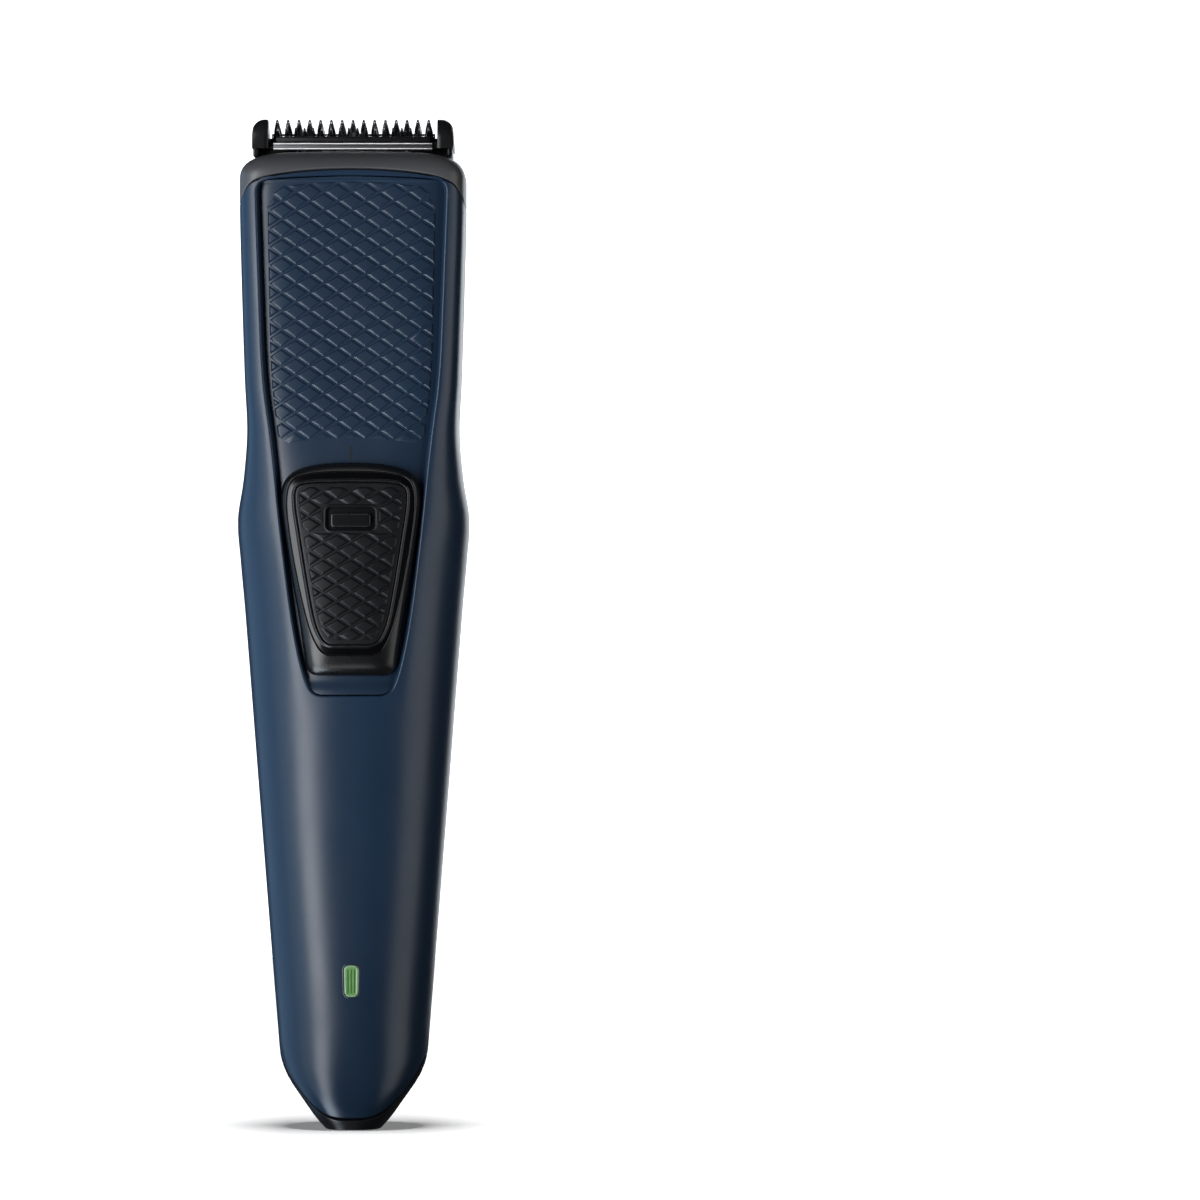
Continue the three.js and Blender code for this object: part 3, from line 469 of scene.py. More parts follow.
# Each finish's colour and roughness, what tinted, smudged and grained are given, and further constants.
FINISHES = {
    "navy_satin_plastic": ((0.0115, 0.029, 0.06), 0.33, (14, 0.12), (9, 0.025), (0.22, 0.0016)),
    "navy_textured_plastic": ((0.0105, 0.026, 0.052), 0.36, (10, 0.12), (6, 0.03), (0.12, 0.003)),
    "dark_mark_plastic": ((0.002, 0.003, 0.005), 0.6, None, None, (0.1, 0.002)),
    "black_satin_plastic": ((0.011, 0.011, 0.012), 0.36, (12, 0.2), (8, 0.03), (0.2, 0.002)),
    "black_gloss_plastic": ((0.0045, 0.0045, 0.005), 0.27, (8, 0.2), (5, 0.02), (0.3, 0.0008)),
    # Painted shade: a darker, less reflective copy of the slide's black, which keeps the sunk ring black.
    "black_ring_painted_shade": (
        (0.0015, 0.0015, 0.002), 0.18, (8, 0.2), None, (0.3, 0.0008), {"Specular IOR Level": 0.34},
    ),
    "black_soft_pad": (
        (0.0055, 0.0055, 0.0065), 0.4, (6, 0.25), (3, 0.04), (0.09, 0.004), {"Specular IOR Level": 0.36},
    ),
    "grey_satin_collar": ((0.078, 0.078, 0.081), 0.38, (10, 0.1), (8, 0.03), (0.2, 0.0016)),
    "black_head_plastic": ((0.006, 0.006, 0.0065), 0.34, (5, 0.2), (4, 0.03), (0.15, 0.0015)),
    "green_light_window": (
        (0.15, 0.34, 0.11), 0.22, (1.5, 0.3, (0.42, 0.66, 0.32)), (2, 0.03), (0.2, 0.002), GLOW,
    ),
    # Painted highlight: a pale green for the lens's edge band.
    "window_edge_painted_highlight": ((0.3, 0.48, 0.28), 0.25, (1, 0.3), None, (0.2, 0.001)),
    # Painted shade: a dark green for the lens's three valleys.
    "window_valley_painted_shade": ((0.05, 0.17, 0.035), 0.3, (1, 0.3), None, (0.2, 0.001)),
    "window_rim": ((0.02, 0.03, 0.04), 0.3, (2, 0.2), None, (0.1, 0.001)),
    "ground_blade_steel": (
        (0.62, 0.62, 0.63), 0.24, (2, 0.3, (0.5, 0.5, 0.52)), (3, 0.05), (0.06, 0.0006, (1, 12, 12)), METAL,
    ),
    "bright_strip_steel": ((0.7, 0.7, 0.7), 0.3, (6, 0.15, (0.6, 0.6, 0.61)), (8, 0.02), None, METAL),
    # Painted shade: a darker, rougher copy of the strip's steel for the valley between its ridges.
    "strip_valley_painted_shade": ((0.12, 0.12, 0.125), 0.45, (6, 0.15), (8, 0.02), None, METAL),
    "bare_steel": ((0.56, 0.56, 0.57), 0.28, (3, 0.3, (0.4, 0.4, 0.42)), (2, 0.06), (0.08, 0.002), METAL),
    "zinc_plated_steel": (
        (0.60, 0.61, 0.62), 0.34, (4, 0.5, (0.48, 0.47, 0.42)), (3, 0.08), (0.3, 0.002), METAL,
    ),
    "ferrite_magnet": ((0.045, 0.044, 0.046), 0.7, (1.5, 0.5), None, (0.15, 0.01)),
    "enamelled_copper": (
        (0.50, 0.17, 0.055), 0.34, (1, 0.5, (0.32, 0.09, 0.03), 3.0, (1, 1, 8)), None,
        (0.14, 0.03, (1, 1, 20)), {"Metallic": 0.9},
    ),
    "brass_contact": (
        (0.68, 0.49, 0.2), 0.26, (1, 0.3, (0.5, 0.36, 0.14)), (1, 0.05), (0.05, 0.001), METAL,
    ),
    "solder_mask": ((0.014, 0.09, 0.032), 0.42, (1.2, 0.7, (0.03, 0.16, 0.06), 0), (2, 0.06), (0.25, 0.006)),
    "cell_sleeve": ((0.07, 0.22, 0.05), 0.32, (8, 0.2), (4, 0.05), (0.5, 0.006)),
    "moulded_nylon": (
        (0.62, 0.62, 0.58), 0.45, (6, 0.2, (0.52, 0.51, 0.46)), (4, 0.05), (0.2, 0.004), MILKY,
    ),
    "seal_rubber": ((0.014, 0.014, 0.015), 0.72, (2, 0.3), None, (0.1, 0.006)),
}


def finished(name):
    """A new material with one of the finishes."""
    colour, roughness, tint, smudge, grain, *sockets = FINISHES[name]
    finish = Finish(name, colour, roughness, *sockets)
    for vary, values in ((finish.tinted, tint), (finish.smudged, smudge), (finish.grained, grain)):
        if values:
            vary(*values)
    return finish.material


# -------- body pieces


def lower_edge(drop):
    """The height of the navy shell's lower edge, less a drop, as a function of x."""
    height = through(LOWER_EDGE)

    def at(x):
        return height(np.abs(x)) - drop

    return at


def collar_edge(drop):
    """The height of the collar's front edge, less a drop, as a function of x."""
    line = right_side([*COLLAR_EDGE, (17.85, SEAM_Z - 6), (0, SEAM_Z - 6)])
    kept = line[(line[:, 1] >= SEAM_Z) & (line[:, 0] > 0)]
    kept = kept[np.argsort(kept[:, 0])]

    def at(x):
        return np.interp(np.abs(x), kept[:, 0], kept[:, 1]) - drop

    return at


def settled(s, height, start):
    """Heights where columns of constant s meet an edge given as height against x."""
    z = start + 0 * s
    for _ in range(60):
        z = 0.5 * z + 0.5 * height(skin(s, z)[..., 0])
    return z


def shell_boundary():
    """The navy shell's outer edge as (length along the section, z), from its foot's middle to its head's."""
    parting = PART_Y - GAP / 2
    low_s = np.linspace(0, 0.97, 60)
    low_z = settled(low_s, lower_edge(0), 5.0)
    side_z = np.linspace(13.2, SEAM_Z - GAP - 0.6, 160)
    side_s = s_of_parting(parting, side_z)
    top_s = np.linspace(0.93, 0, 60)
    top_z = settled(top_s, collar_edge(GAP), 150.0)
    corner_low = [(1.0, 12.4), (side_s[0], 12.75)]
    corner_high = [(side_s[-1], SEAM_Z - GAP), (0.98, SEAM_Z - GAP)]
    line = np.vstack([
        np.stack([low_s, low_z], -1), corner_low, np.stack([side_s, side_z], -1), corner_high,
        np.stack([top_s, top_z], -1),
    ])
    return line * [QUARTER, 1]


def front_shell():
    """The navy shell: one sheet that runs from the edge of the recess to the shell's outer edge."""
    counts = (26, 26, 156, 16, 12, 34)
    hole_stops = [(4.2, 68.7), (8, 74.2), (14.9, 145.6), (14.4, 149.2), (12.2, 150.3)]
    hole = paced(right_side(RECESS), hole_stops, counts)
    parting = s_of_parting(PART_Y, 30.0) * QUARTER
    upper = [(s_of_x(x, z) * QUARTER, z) for x, z in [(16.7, 148.7), (12.9, 150.6)]]
    rim_stops = [(0.62 * QUARTER, 6.3), (parting, 34), (parting, SEAM_Z - GAP), *upper]
    rim = paced(shell_boundary(), rim_stops, counts)
    hole = np.stack([s_of_x(hole[:, 0], hole[:, 1]) * QUARTER, hole[:, 1]], -1)
    hole, rim = whole(hole), whole(rim)
    shares = [0, 0.085, 0.16, 0.23, 0.3, 0.37, 0.44, 0.51, 0.58, 0.65, 0.72, 0.78, 0.84, 0.89, 0.94, 1]
    charts = [hole + (rim - hole) * share for share in shares]
    sheet = np.array([skin(chart[:, 0] / QUARTER, chart[:, 1]) for chart in charts])
    normals = np.array([skin_normals(chart[:, 0] / QUARTER, chart[:, 1]) for chart in charts])
    bm = bmesh.new()
    thickened(bm, sheet, normals, SHELL, 0.32, 0.28)
    return made("front_shell_moulding", bm, "housing", ["front_shell"], ["navy_satin_plastic"])


CUP_Z = 12.5  # height of the closed cup that the rear shell makes round the base


def rear_shell():
    """The black shell: a cup round the base and an open half above it."""
    parting = PART_Y + GAP / 2
    front_columns, rear_columns = 90, 150
    across = np.linspace(-1, 1, front_columns, endpoint=False)
    around = np.linspace(0, 1, rear_columns)

    def rear_row(z):
        limit = s_of_parting(parting, z)
        return skin(limit + around * (4 - 2 * limit), np.full(rear_columns, z))

    edge_s = across * s_of_parting(parting, CUP_Z)
    turn_s = np.array([0.97, 1, np.abs(edge_s).max()])
    turn_z = [settled(turn_s[:1], lower_edge(0.36), 5.0)[0], 12.1, CUP_Z]
    top = settled(edge_s, lower_edge(0.36), 5.0)
    top = np.where(np.abs(edge_s) > turn_s[0], np.interp(np.abs(edge_s), turn_s, turn_z), top)
    cup = []
    for level in (0, 0.04, 0.1, 0.2, 0.32, 0.45, 0.58, 0.71, 0.83, 0.92, 1):
        front_row = skin(across * s_of_parting(parting, top * level), top * level)
        cup.append(np.vstack([front_row, rear_row(CUP_Z * level)[:-1]]))
    hole = inlet_edge(cup[0])
    flat = [hole + (cup[0] - hole) * share for share in (0, 0.5)]
    top_z = SEAM_Z - GAP
    upper_z = [CUP_Z, CUP_Z + 1.5, CUP_Z + 4, *np.linspace(20, top_z - 0.8, 90), top_z]
    upper = [rear_row(z) for z in upper_z]
    bm = bmesh.new()
    lofted(bm, [*flat, *cup])
    lofted(bm, upper, wrap_columns=False)
    bmesh.ops.remove_doubles(bm, verts=bm.verts, dist=1e-6)
    bmesh.ops.recalc_face_normals(bm, faces=bm.faces)
    if sum(f.normal.z * f.calc_area() for f in bm.faces if f.calc_center_median().z < 1e-6) > 0:
        bmesh.ops.reverse_faces(bm, faces=bm.faces)
    finishes = ["black_satin_plastic"]
    shell = made("rear_shell_moulding", bm, "housing", ["rear_shell"], finishes, sharp=50)
    return with_lips(with_wall(shell))


def inlet_edge(bottom):
    """The rounded edge of the charging inlet, with a point for each point of the base's outline."""
    angle = np.arctan2(bottom[:, 0] / HALF_WIDTH[0][1], bottom[:, 1] / REAR_DEPTH[0][1])
    w, h, power = INLET["half_width"], INLET["half_length"], 8
    reach = (np.abs(np.sin(angle) / w) ** power + np.abs(np.cos(angle) / h) ** power) ** (-1 / power)
    return np.stack([np.sin(angle) * reach, INLET["y"] + np.cos(angle) * reach, 0 * angle], -1)


def with_wall(piece):
    """Thickens an open sheet inwards and rounds the edges that this leaves."""
    solid = piece.modifiers.new("wall", "SOLIDIFY")
    solid.thickness = SHELL * MM
    solid.offset = -1
    solid.use_even_offset = True
    edges = piece.modifiers.new("edges", "BEVEL")
    edges.width = 0.28 * MM
    edges.segments = 3
    edges.limit_method = "ANGLE"
    edges.angle_limit = math.radians(48)
    edges.use_clamp_overlap = True
    evaluated = piece.evaluated_get(bpy.context.evaluated_depsgraph_get())
    mesh = bpy.data.meshes.new_from_object(evaluated)
    piece.modifiers.clear()
    piece.data = mesh
    smoothed(mesh, 50)
    return piece


def with_lips(piece):
    """Adds the lips that stand inside the parting line and close it to the eye."""
    bm = bmesh.new()
    bm.from_mesh(piece.data)
    # y, and how far inside the wall's inner face
    section = [(1.2, 0.04), (2.2, 0.04), (2.6, -0.1), (4, -0.1), (4, 0.5), (1.2, 0.6)]
    for side in (-1, 1):
        rings = []
        for z in np.linspace(58, 103, 30):
            wall = width_at(z) * fall(np.array([y for y, _ in section]) / rear_at(z), z) - SHELL
            rings.append([(side * (x - inside), y, z) for x, (y, inside) in zip(wall, section)])
        first = len(bm.faces)
        capped(bm, rings)
        bm.faces.ensure_lookup_table()
        bmesh.ops.recalc_face_normals(bm, faces=bm.faces[first:])
    bm.to_mesh(piece.data)
    bm.free()
    return piece


def neck_collar():
    """The collar: straight up from its seam, over a round shoulder and in to the drive's opening."""
    columns = 240
    shoulder_stop = math.radians(71.5)
    top_half_width, top_half_depth = 10.7, 7.3
    opening_radius, opening_y = 4, -2.5
    s = np.linspace(-2, 2, columns, endpoint=False)
    low = np.where(np.abs(s) < 1, settled(s, collar_edge(0), 150.0), SEAM_Z)
    low = np.where(np.abs(s) > 0.985, SEAM_Z, low)
    rise = CROWN_Z - SHOULDER_Z
    above = np.clip((low - SHOULDER_Z) / rise, 0, 1) ** 1.25
    start = np.where(low < SHOULDER_Z, low - SHOULDER_Z, rise * np.arcsin(above))
    stop = rise * shoulder_stop
    rows = []
    for share in np.linspace(0, 1, 26) ** 0.9:
        q = start + (stop - start) * share
        turn = np.clip(q / rise, 0, None)
        z = np.where(q < 0, SHOULDER_Z + q, SHOULDER_Z + rise * np.sin(turn) ** 0.8)
        rows.append(skin(s, z, scale=np.cos(turn) ** (2 / SHOULDER_POWER)))
    last = rows[-1]
    away = unit(last[:, :2] / [top_half_width, top_half_depth]) * opening_radius
    hole = np.stack([away[:, 0], opening_y + away[:, 1], np.full(columns, CROWN_Z)], -1)
    for share in (0.3, 0.65, 1):
        row = last + (hole - last) * share
        row[:, 2] = last[:, 2] + (CROWN_Z - last[:, 2]) * math.sin(share * math.pi / 2)
        rows.append(row)
    bm = bmesh.new()
    sheet = np.array(rows)
    thickened(bm, sheet, sheet_normals(sheet), SHELL, 0.22, 0.3)
    for side in (-1, 1):
        hinge_lug(bm, side)
    return made("neck_collar_moulding", bm, "housing", ["neck_collar"], ["grey_satin_collar"])


KNUCKLE_RADIUS = 1.4


def hinge_axis():
    """Side-view (y, z) place of the head's hinge pin."""
    low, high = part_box("head_hinge_pin")
    return (low.y + high.y) / 2 / MM, (low.z + high.z) / 2 / MM


def hinge_lug(bm, side):
    """A lug of the collar that holds one end of the hinge pin."""
    y, z = hinge_axis()
    turn = np.radians(np.linspace(-20, 150, 14))
    cap = [(y + KNUCKLE_RADIUS * math.cos(a), z + KNUCKLE_RADIUS * math.sin(a)) for a in turn]
    points = [(y - 1.1, CROWN_Z - 1.3), (y + 0.2, CROWN_Z - 1.3), *cap]
    slab(bm, points, side * 6.3, side * 8.3, 0.25)


# -------- diamond fields


def clipped(polygon, planes):
    """The part of a convex polygon on the inner side of each (normal, offset) line."""
    for normal, offset in planes:
        kept = []
        depths = [offset - np.dot(p, normal) for p in polygon]
        for i, p in enumerate(polygon):
            q, here, there = polygon[(i + 1) % len(polygon)], depths[i], depths[(i + 1) % len(polygon)]
            if here >= 0:
                kept.append(p)
            if here * there < 0:
                kept.append(p + (q - p) * (here / (here - there)))
        polygon = kept
        if len(polygon) < 3:
            return None
    return np.array(polygon)


def curve_plane(value, at, along_z, sign):
    """A line that touches a boundary curve: x = value(z) if along_z, otherwise z = value(x)."""
    slope = (value(at + 0.05) - value(at - 0.05)) / 0.1
    normal = np.array([1.0, -slope]) if along_z else np.array([-slope, 1.0])
    point = np.array([value(at), at]) if along_z else np.array([at, value(at)])
    normal = sign * normal / np.linalg.norm(normal)
    return normal, float(np.dot(normal, point))


def side_planes(side, z):
    """Lines that touch a side boundary x = side(z) on the right and its mirror image on the left."""
    normal, offset = curve_plane(side, z, True, 1)
    return [(normal, offset), (normal * [-1, 1], offset)]


def diamond_cells(pitch_x, pitch_z, groove, middle_z, boundary, reach):
    """Rhombi of a staggered lattice, each clipped by the lines that boundary(x, z) gives for its middle."""
    a, b = pitch_x / 2, pitch_z / 2
    length = math.hypot(a, b)
    count_x, count_z = int(reach[0] / a) + 2, int(reach[1] / b) + 2
    for i in range(-count_x, count_x + 1):
        for j in range(-count_z, count_z + 1):
            if (i + j) % 2:
                continue
            middle = np.array([i * a, middle_z + j * b])
            planes = boundary(*middle)
            for sx in (-1, 1):
                for sz in (-1, 1):
                    normal = np.array([sx * b, sz * a]) / length
                    planes.append((normal, np.dot(normal, middle) + a * b / length - groove / 2))
            square = [middle + corner for corner in np.array([(-3, -3), (3, -3), (3, 3), (-3, 3)])]
            cell = clipped(square, planes)
            if cell is not None:
                yield cell


def tidy_cell(cell, shortest=0.12, least_area=0.55):
    """Drops corners that nearly coincide, and gives None for a cell that is too small to mould."""
    kept = [p for i, p in enumerate(cell) if np.linalg.norm(p - cell[i - 1]) > shortest]
    if len(kept) < 3:
        return None
    kept = np.array(kept)
    x, z = kept.T
    area = 0.5 * abs(np.dot(x, np.roll(z, -1)) - np.dot(z, np.roll(x, -1)))
    return kept if area > least_area else None


def add_diamonds(bm, cells, surface_inset, height, bevel):
    """Raised flat-topped diamonds with sloping sides and softened edges."""
    rings = [(0, -0.12), (0.12, 0.02), (0.82, 0.86), (1, 0.97), (1.3, 1)]  # shares of bevel and of height
    most = 0.62  # of the way to the cell's middle
    for cell in map(tidy_cell, cells):
        if cell is None:
            continue
        middle = cell.mean(0)
        ahead = unit(np.roll(cell, -1, 0) - cell)
        room = np.min(np.abs(np.cross(ahead, middle - cell)))
        share = min(bevel / room, most)
        top = height * min(1, room * most / bevel)
        loops = []
        for along, up in rings:
            drawn_in = cell + (middle - cell) * min(share * along, 0.8)
            loops.append(front(drawn_in, surface_inset - top * up))
        capped(bm, loops)


def panel_field(x, z):
    """Boundary lines of the panel's diamonds near (x, z)."""
    margins = [109, 146], [1.0, 1.62]
    side_line = right_side(RECESS)
    side_line = side_line[(side_line[:, 1] > 72) & (side_line[:, 1] < 147)]

    def side(at):
        return np.interp(at, side_line[:, 1], side_line[:, 0]) - np.interp(at, *margins)

    def top(at):
        return 149.85 - 1.0 * (at / 12) ** 2 - 1.2 * max(abs(at) - 11, 0)

    def bottom(at):
        return 109.3 - 1.1 * (at / 11.5) ** 2

    return [*side_planes(side, z), curve_plane(top, x, False, 1), curve_plane(bottom, x, False, -1)]


def panel_inset(z):
    """Depth of the panel's face, which curves up to the recess's edge at its foot and its head."""
    foot = np.clip((71.7 - z) / 2.7, 0, 1)
    head = np.clip((z - 149.7) / 1.0, 0, 1)
    return PANEL_INSET - 0.95 * foot**2 * (3 - 2 * foot) - 0.75 * head**2 * (3 - 2 * head)


def front_panel():
    edge = moved_in(outline(RECESS, 230), 0.2)
    shares = np.linspace(0, 1, 13) ** 0.8
    upper = [front(loop, panel_inset(loop[:, 1])) for loop in to_axis(edge, shares)]
    lower = [front(loop, PANEL_INSET + 1.2) for loop in to_axis(edge, shares[::-1])]
    cells = diamond_cells(4.4, 2.9, 0.22, 129.35, panel_field, (14, 24))
    bm = bmesh.new()
    lofted(bm, [*upper, *lower])
    add_diamonds(bm, cells, PANEL_INSET, height=0.2, bevel=0.3)
    panel_faces = len(bm.faces)
    mark = np.array([(-0.16, 105.9), (0.16, 105.9), (0.16, 108.1), (-0.16, 108.1)])
    capped(bm, [front(mark, PANEL_INSET + 0.3), front(mark, PANEL_INSET - 0.015)])
    painted(bm, panel_faces, None, 1)
    finishes = ["navy_textured_plastic", "dark_mark_plastic"]
    return made("front_panel_moulding", bm, "housing", ["front_panel"], finishes, sharp=30)


# -------- window and switch


def window_outline(by):
    """The window's edge moved inwards, a little wider at its top."""
    z, half_width, half_height = WINDOW["z"], WINDOW["half_width"], WINDOW["half_height"]
    loop = pill(half_width - by, half_height - by, z, 40, max(0.8 - by, 0.1))
    loop[:, 0] *= 1 + 0.06 * (loop[:, 1] - z) / half_height
    return loop


def button(bm, shape, edge, shares):
    """A flat-topped solid whose outline is shape(by) at each (by, inset) of its edge, from foot to top."""
    (foot_by, foot_inset), (top_by, top_inset) = edge[0], edge[-1]
    foot = [front(shape(foot_by) * [share, 1], foot_inset) for share in (0, 0.5)]
    wall = [front(shape(by), inset) for by, inset in edge]
    top = [front(shape(top_by) * [share, 1], top_inset) for share in shares]
    lofted(bm, [*foot, *wall, *top])


def charge_window():
    """A dark rim and a green lens: a faint painted glow, a painted highlight on its edge, painted shade in
    three valleys.
    """
    bm = bmesh.new()
    rim = [(-0.28, 1.0), (-0.28, -0.01), (-0.2, -0.05), (-0.08, -0.05), (0, -0.01), (0.02, 1.0)]
    lofted(bm, [front(window_outline(by), inset) for by, inset in rim], wrap_rows=True)
    rim_faces = len(bm.faces)
    edge = [(0, 0.9), (0, 0.0), (0.08, -0.09), (0.2, -0.13), (0.26, -0.12), (0.32, -0.08)]
    button(bm, window_outline, edge, (0.8, 0.6, 0.4, 0.2, 0))
    lens_faces = len(bm.faces)
    # Three dark strips barely proud of the lens: painted shade for its valleys.
    for x in (-0.52, 0, 0.52):
        valley = pill(0.11, WINDOW["half_height"] - 0.5, WINDOW["z"], 14, 0.1) + [x, 0]
        capped(bm, [front(valley, -0.05), front(valley, -0.1)])
    painted(bm, lens_faces, None, 3)
    pale = 0.28  # width of the lens's edge band, painted pale as a highlight
    for face in bm.faces[rim_faces:lens_faces]:
        middle = face.calc_center_median() / MM
        beyond_x = abs(middle.x) - WINDOW["half_width"] + pale
        beyond_z = abs(middle.z - WINDOW["z"]) - WINDOW["half_height"] + pale
        face.material_index = 2 if max(beyond_x, beyond_z) > 0 else 1
    finishes = ["window_rim", "green_light_window", "window_edge_painted_highlight", "window_valley_painted_shade"]
    return made("charge_window_lens", bm, "housing", ["charge_window"], finishes)


def switch_slide():
    """The switch's frame: a sloping border, a groove, a sunk ring and a lip round the pad."""
    count = 150
    base, rim, pocket = outline(SLIDE, count), outline(RIM, count), outline(PAD, count)
    border = [front(base, 1.1), front(base, 0.95)]
    for share in np.linspace(0.05, 1, 14):
        rise = 0.6 * (1 - (1 - share) ** 4) + 0.4 * share
        border.append(front(base + (rim - base) * share, 0.85 - 1.3 * rise))
    groove = [(0.06, -0.46), (0.12, -0.4), (0.18, -0.32), (0.26, -0.29), (0.36, -0.3)]
    ring = [front(moved_in(rim, by), inset) for by, inset in groove]
    inner_edge, outer_edge = moved_in(pocket, -0.5), moved_in(rim, 0.5)
    for share in np.linspace(0, 1, 8):
        ring.append(front(outer_edge + (inner_edge - outer_edge) * share, -0.31 - 0.05 * share))
    lip = [
        (-0.42, -0.4), (-0.34, -0.48), (-0.26, -0.53), (-0.17, -0.52), (-0.1, -0.46), (-0.05, -0.35),
        (-0.04, 0.25),
    ]
    pad_bed = [front(moved_in(pocket, by), inset) for by, inset in lip]
    pad_bed += [front(loop, 0.25) for loop in to_axis(pocket, (0.66, 0.33, 0))]
    outside = [front(loop, 1.1) for loop in to_axis(base, (0, 0.33, 0.66))] + border
    bm = bmesh.new()
    lofted(bm, [*outside, *ring, *pad_bed])
    # The sunk ring takes the darker copy of the slide's black, painted shade.
    first = len(outside) * 2 * count
    painted(bm, first, first + len(ring) * 2 * count, 1)
    add_nub(bm)
    finishes = ["black_gloss_plastic", "black_ring_painted_shade"]
    return made("switch_slide_moulding", bm, "switch", ["switch_slide"], finishes)


def add_nub(bm):
    """The raised pill that the thumb finds, standing in the pad's opening."""

    def shape(by):
        return pill(NUB["half_width"] - by, NUB["half_height"] - by, NUB["z"], 40, 0.42 - by * 0.5)

    edge = [(0, 0.3), (0, -0.4), (0.04, -0.5), (0.12, -0.57), (0.24, -0.6), (0.4, -0.61)]
    button(bm, shape, edge, (0.66, 0.33, 0))


def pad_field(x, z):
    """Boundary lines of the pad's diamonds near (x, z)."""
    side_line = right_side(PAD)
    side_line = side_line[(side_line[:, 1] > 78.5) & (side_line[:, 1] < 100.5)]

    def side(at):
        corner = 1.6 * max(at - 100.6, 0) + 0.9 * max(78.8 - at, 0)
        return np.interp(at, side_line[:, 1], side_line[:, 0]) - 0.6 - corner

    field_top, field_bottom = 101.6, 77.5
    planes = side_planes(side, z)
    planes += [(np.array([0.0, 1.0]), field_top), (np.array([0.0, -1.0]), -field_bottom)]
    hole_w, hole_h = NUB_HOLE["half_width"] + 0.5, NUB_HOLE["half_height"] + 0.45
    if abs(z - NUB_HOLE["z"]) < hole_h:
        planes.append((np.array([-math.copysign(1, x), 0.0]), -hole_w))
    elif abs(x) < hole_w + 1.2:
        up = math.copysign(1, z - NUB_HOLE["z"])
        planes.append((np.array([0.0, -up]), -(up * NUB_HOLE["z"] + hole_h)))
    return planes


def switch_pad():
    """The thumb pad: a plate with raised diamonds round the nub's opening."""
    count = 130
    hole = pill(NUB_HOLE["half_width"], NUB_HOLE["half_height"], NUB_HOLE["z"], count, 0.75)
    edge = outline(PAD, count)
    top = -0.3
    wall = [(0, 0.2), (0, -0.1), (0.06, -0.22), (0.2, top)]
    wall = [front(moved_in(edge, by), inset) for by, inset in wall]
    inner_edge, hole_edge = moved_in(edge, 0.35), moved_in(hole, -0.45)
    face = [front(inner_edge + (hole_edge - inner_edge) * t, top) for t in np.linspace(0, 1, 14)]
    lip = [(-0.34, top - 0.1), (-0.22, top - 0.15), (-0.1, top - 0.12), (0, top), (0, 0.2)]
    lip = [front(moved_in(hole, by), inset) for by, inset in lip]
    bm = bmesh.new()
    lofted(bm, [*wall, *face, *lip], wrap_rows=True)
    cells = diamond_cells(4.35, 2.67, 0.2, 88.95, pad_field, (9, 14))
    add_diamonds(bm, cells, top, height=0.24, bevel=0.28)
    return made("switch_pad_grip", bm, "switch", ["switch_pad"], ["black_soft_pad"], sharp=30)


# -------- head

BLADE_TIP = (-4.2, 159.6)
BLADE_LEAN = math.radians(50)


def on_blades(x, up, out):
    """A point in the blades' plane: up towards the tips, out towards the front."""
    y = BLADE_TIP[0] - up * math.sin(BLADE_LEAN) - out * math.cos(BLADE_LEAN)
    z = BLADE_TIP[1] + up * math.cos(BLADE_LEAN) - out * math.sin(BLADE_LEAN)
    return np.array([x, y, z])


def comb_outline(count, pitch, tip, root, tooth_halves, half_width, foot):
    """A blade's outline: teeth along its top, as wide as tooth_halves at root and tip, and a plain foot."""
    root_half, tip_half = tooth_halves
    points = [(-half_width, foot), (half_width, foot), (half_width, root)]
    for i in reversed(range(count)):
        x = (i - (count - 1) / 2) * pitch
        length = tip - root
        sides = [(root_half, 0), (root_half * 0.9, 0.3), (root_half * 0.62, 0.62)]
        sides += [(tip_half * 1.5, 0.9), (tip_half, 1)]
        points += [(x + half, root + length * up) for half, up in sides]
        points += [(x - half, root + length * up) for half, up in reversed(sides)]
    points.append((-half_width, root))
    return points


def blade(name, node, body, points, back, face, edge):
    """A steel blade from its outline, between two depths in the blades' plane."""
    bm = bmesh.new()
    loops = [[on_blades(x, up, out) for x, up in points] for out in (back, face)]
    rounded_solid(bm, *loops, edge, segments=2, sharper_than=30)
    return made(name, bm, body, [node], ["ground_blade_steel"], weld=0.0005, sharp=30)


def guard_blade():
    points = comb_outline(15, 1.717, 0, -3.2, tooth_halves=(0.66, 0.17), half_width=13, foot=-6)
    return blade("guard_blade_comb", "guard_blade", "head", points, -0.6, 0, 0.06)


def cutter_blade():
    points = comb_outline(18, 1.405, -1.1, -4.2, tooth_halves=(0.46, 0.12), half_width=12.4, foot=-4.7)
    return blade("cutter_blade_comb", "cutter_blade", "cutter", points, 0.12, 0.72, 0.05)


def blade_strip():
    """A pressed steel strip: a bright rounded ridge along either edge, and between them a valley painted as
    darker steel for shade.
    """
    back, valley, crest, half_ridge = -4.95, -5.3, -5.55, 0.19
    low_z, high_z = 155.3, 156.1
    turn = np.linspace(-math.pi / 2, math.pi / 2, 13)
    out, up = valley - (valley - crest) * np.cos(turn), half_ridge * np.sin(turn)
    ridges = [(y, z + dz) for z in (low_z, high_z) for y, dz in zip(out, up)]
    points = [(back, 155.1), *ridges, (back, 156.3)]
    bm = bmesh.new()
    slab(bm, points[::-1], -12.6, 12.6, 0.03)
    # Faces of the valley take the darker steel, painted shade between the ridges.
    for face in bm.faces:
        middle = face.calc_center_median() / MM
        between = abs(middle.z - (low_z + high_z) / 2) < 0.24
        face.material_index = int(middle.y < valley + 0.05 and between)
    finishes = ["bright_strip_steel", "strip_valley_painted_shade"]
    return made("blade_strip_pressing", bm, "head", ["blade_strip"], finishes, weld=0.0005)


